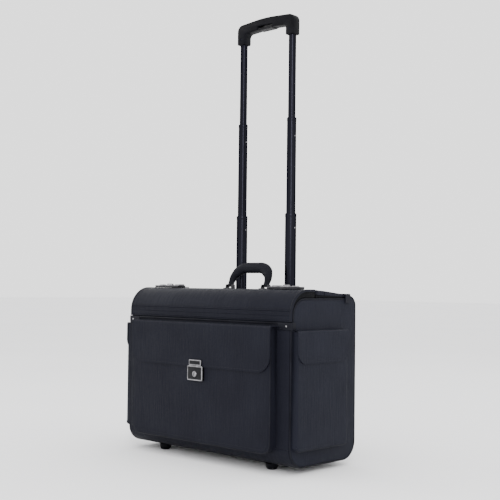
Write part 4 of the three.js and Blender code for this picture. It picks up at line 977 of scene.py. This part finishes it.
# ---------------------------------------------------------------- end pockets
# Each end carries a flat pocket of the same make, with its own folded leaf, rounded at
# the lower corners and stitched twice along its edge.
for hand, side in ((-1, "left"), (1, "right")):
    low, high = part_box(f"{side}_pocket")
    outer, inner = (high.x, low.x) if hand > 0 else (low.x, high.x)
    bag = [(low.y, low.z, 0.008), (high.y, low.z, 0.008), (high.y, high.z, 0), (low.y, high.z, 0)]
    pocket_shell(bag, "x", inner, outer, f"{side}_pocket_bag", end_covering, [f"{side}_pocket"])
    line = open_line(round_line(bag, "x", outer - hand * 0.0018))
    place(bead(line, 0.0012, False), f"{side}_pocket_binding", edging, "case", "edging")
    line = open_line(round_line(drawn_in(bag, 0.0055), "x", outer))
    row = [p for p in line if p.z < high.z - 0.02]
    stitched(f"{side}_pocket_stitches", [row], (hand, 0, 0), "case")

    low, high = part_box(f"{side}_pocket_flap")
    outer, inner = (high.x, low.x) if hand > 0 else (low.x, high.x)
    leaf = 0.002
    corners = [
        (outer, low.z, 0), (outer, high.z, 0.0045), (inner, high.z, 0), (inner, high.z - leaf, 0),
        (outer - hand * leaf, high.z - leaf, 0.0025), (outer - hand * leaf, low.z, 0),
    ]
    if hand < 0:
        corners.reverse()
    flap = place(drawn(corners, "y", low.y, high.y), f"{side}_pocket_leaf", end_covering,
                 f"{side}_pocket_flap", "leatherette", [f"{side}_pocket_flap"])
    reach = sorted((outer - hand * (leaf + 0.003), outer + hand * 0.003))
    for end, y in ((-1, low.y), (1, high.y)):
        carve(flap, drawn(corner_waste(y, low.z, 0.026, end), "x", *reach, arc=14))
    strip = sorted((inner - hand * 0.002, outer - hand * (leaf + 0.0001)))
    carve(flap, slab((strip[0], low.y - PAST, high.z - 0.006),
                     (strip[1], low.y + 0.0083, high.z + PAST)))
    rounded_rims(flap, 0.0006)
    leaf_line = [(low.y, low.z, 0.026), (high.y, low.z, 0.026), (high.y, high.z - 0.007, 0),
                 (low.y, high.z - 0.007, 0)]
    rows = [open_line(round_line(drawn_in(leaf_line, d), "x", outer)) for d in (0.004, 0.0075)]
    stitched(f"{side}_pocket_leaf_stitches", rows, (hand, 0, 0), f"{side}_pocket_flap")

# ---------------------------------------------------------------- feet and wheels
# Two moulded feet are screwed under the front corners. At the back each wheel, a rubber
# tyre on a moulded hub, turns on a steel axle in a plastic housing.
rubber = finish("tyre_rubber", (0.01, 0.01, 0.011), 0.8, specular=0.2)
tint(rubber, pattern(rubber, "ShaderNodeTexNoise", (0.01,) * 3),
     (0.007, 0.007, 0.008), (0.016, 0.016, 0.017))
emboss(rubber, pattern(rubber, "ShaderNodeTexNoise", (0.0008,) * 3), 0.0001)
SOLE, SOLE_SPREAD, SOLE_RISE = 0.0075, 0.005, 0.0085
TYRE, TREAD_EDGE, GROOVE, GROOVE_DEPTH = 0.0065, 0.003, 0.0022, 0.0009
for side in ("left", "right"):
    low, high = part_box(f"{side}_front_foot")
    x, y = (low.x + high.x) / 2, (low.y + high.y) / 2
    radius = (high.x - low.x) / 2
    turns = [math.radians(degrees) for degrees in range(0, 91, 15)]
    dome = ([(0, 0.0)]
            + [(SOLE + SOLE_SPREAD * math.sin(t), SOLE_RISE * (1 - math.cos(t))) for t in turns]
            + [(radius, high.z), (0, high.z)])
    place(turned(dome, "z", (x, y, 0)), f"{side}_foot", plastic, "case", "black_plastic",
          [f"{side}_front_foot"])

    low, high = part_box(f"{side}_wheel")
    centre = (low + high) / 2
    radius, half = (high.z - low.z) / 2, (high.x - low.x) / 2
    near = [(radius - TYRE, -half + 0.001), (radius - 0.002, -half), (radius - 0.0007, -half + 0.001),
            (radius, -half + TREAD_EDGE), (radius, -GROOVE), (radius - GROOVE_DEPTH, -0.0016)]
    far = [(out, -along) for out, along in reversed(near)]
    tread = near + far + near[:1]
    place(turned(tread, "x", centre), f"{side}_tyre", rubber, f"{side}_wheel", "wheel_rubber",
          [f"{side}_wheel"])
    rim, bore = radius - TYRE - 0.0001, 0.0034
    near = [(bore, -half), (0.007, -half), (0.0085, -half + 0.003), (rim - 0.003, -half + 0.003),
            (rim - 0.0015, -half + 0.001), (rim, -half + 0.001)]
    far = [(out, -along) for out, along in reversed(near)]
    hub = near + far + near[:1]
    place(turned(hub, "x", centre), f"{side}_hub", plastic, f"{side}_wheel", "black_plastic")
    refinish(f"{side}_wheel_housing", plastic)
    refinish(f"{side}_axle", nickel)
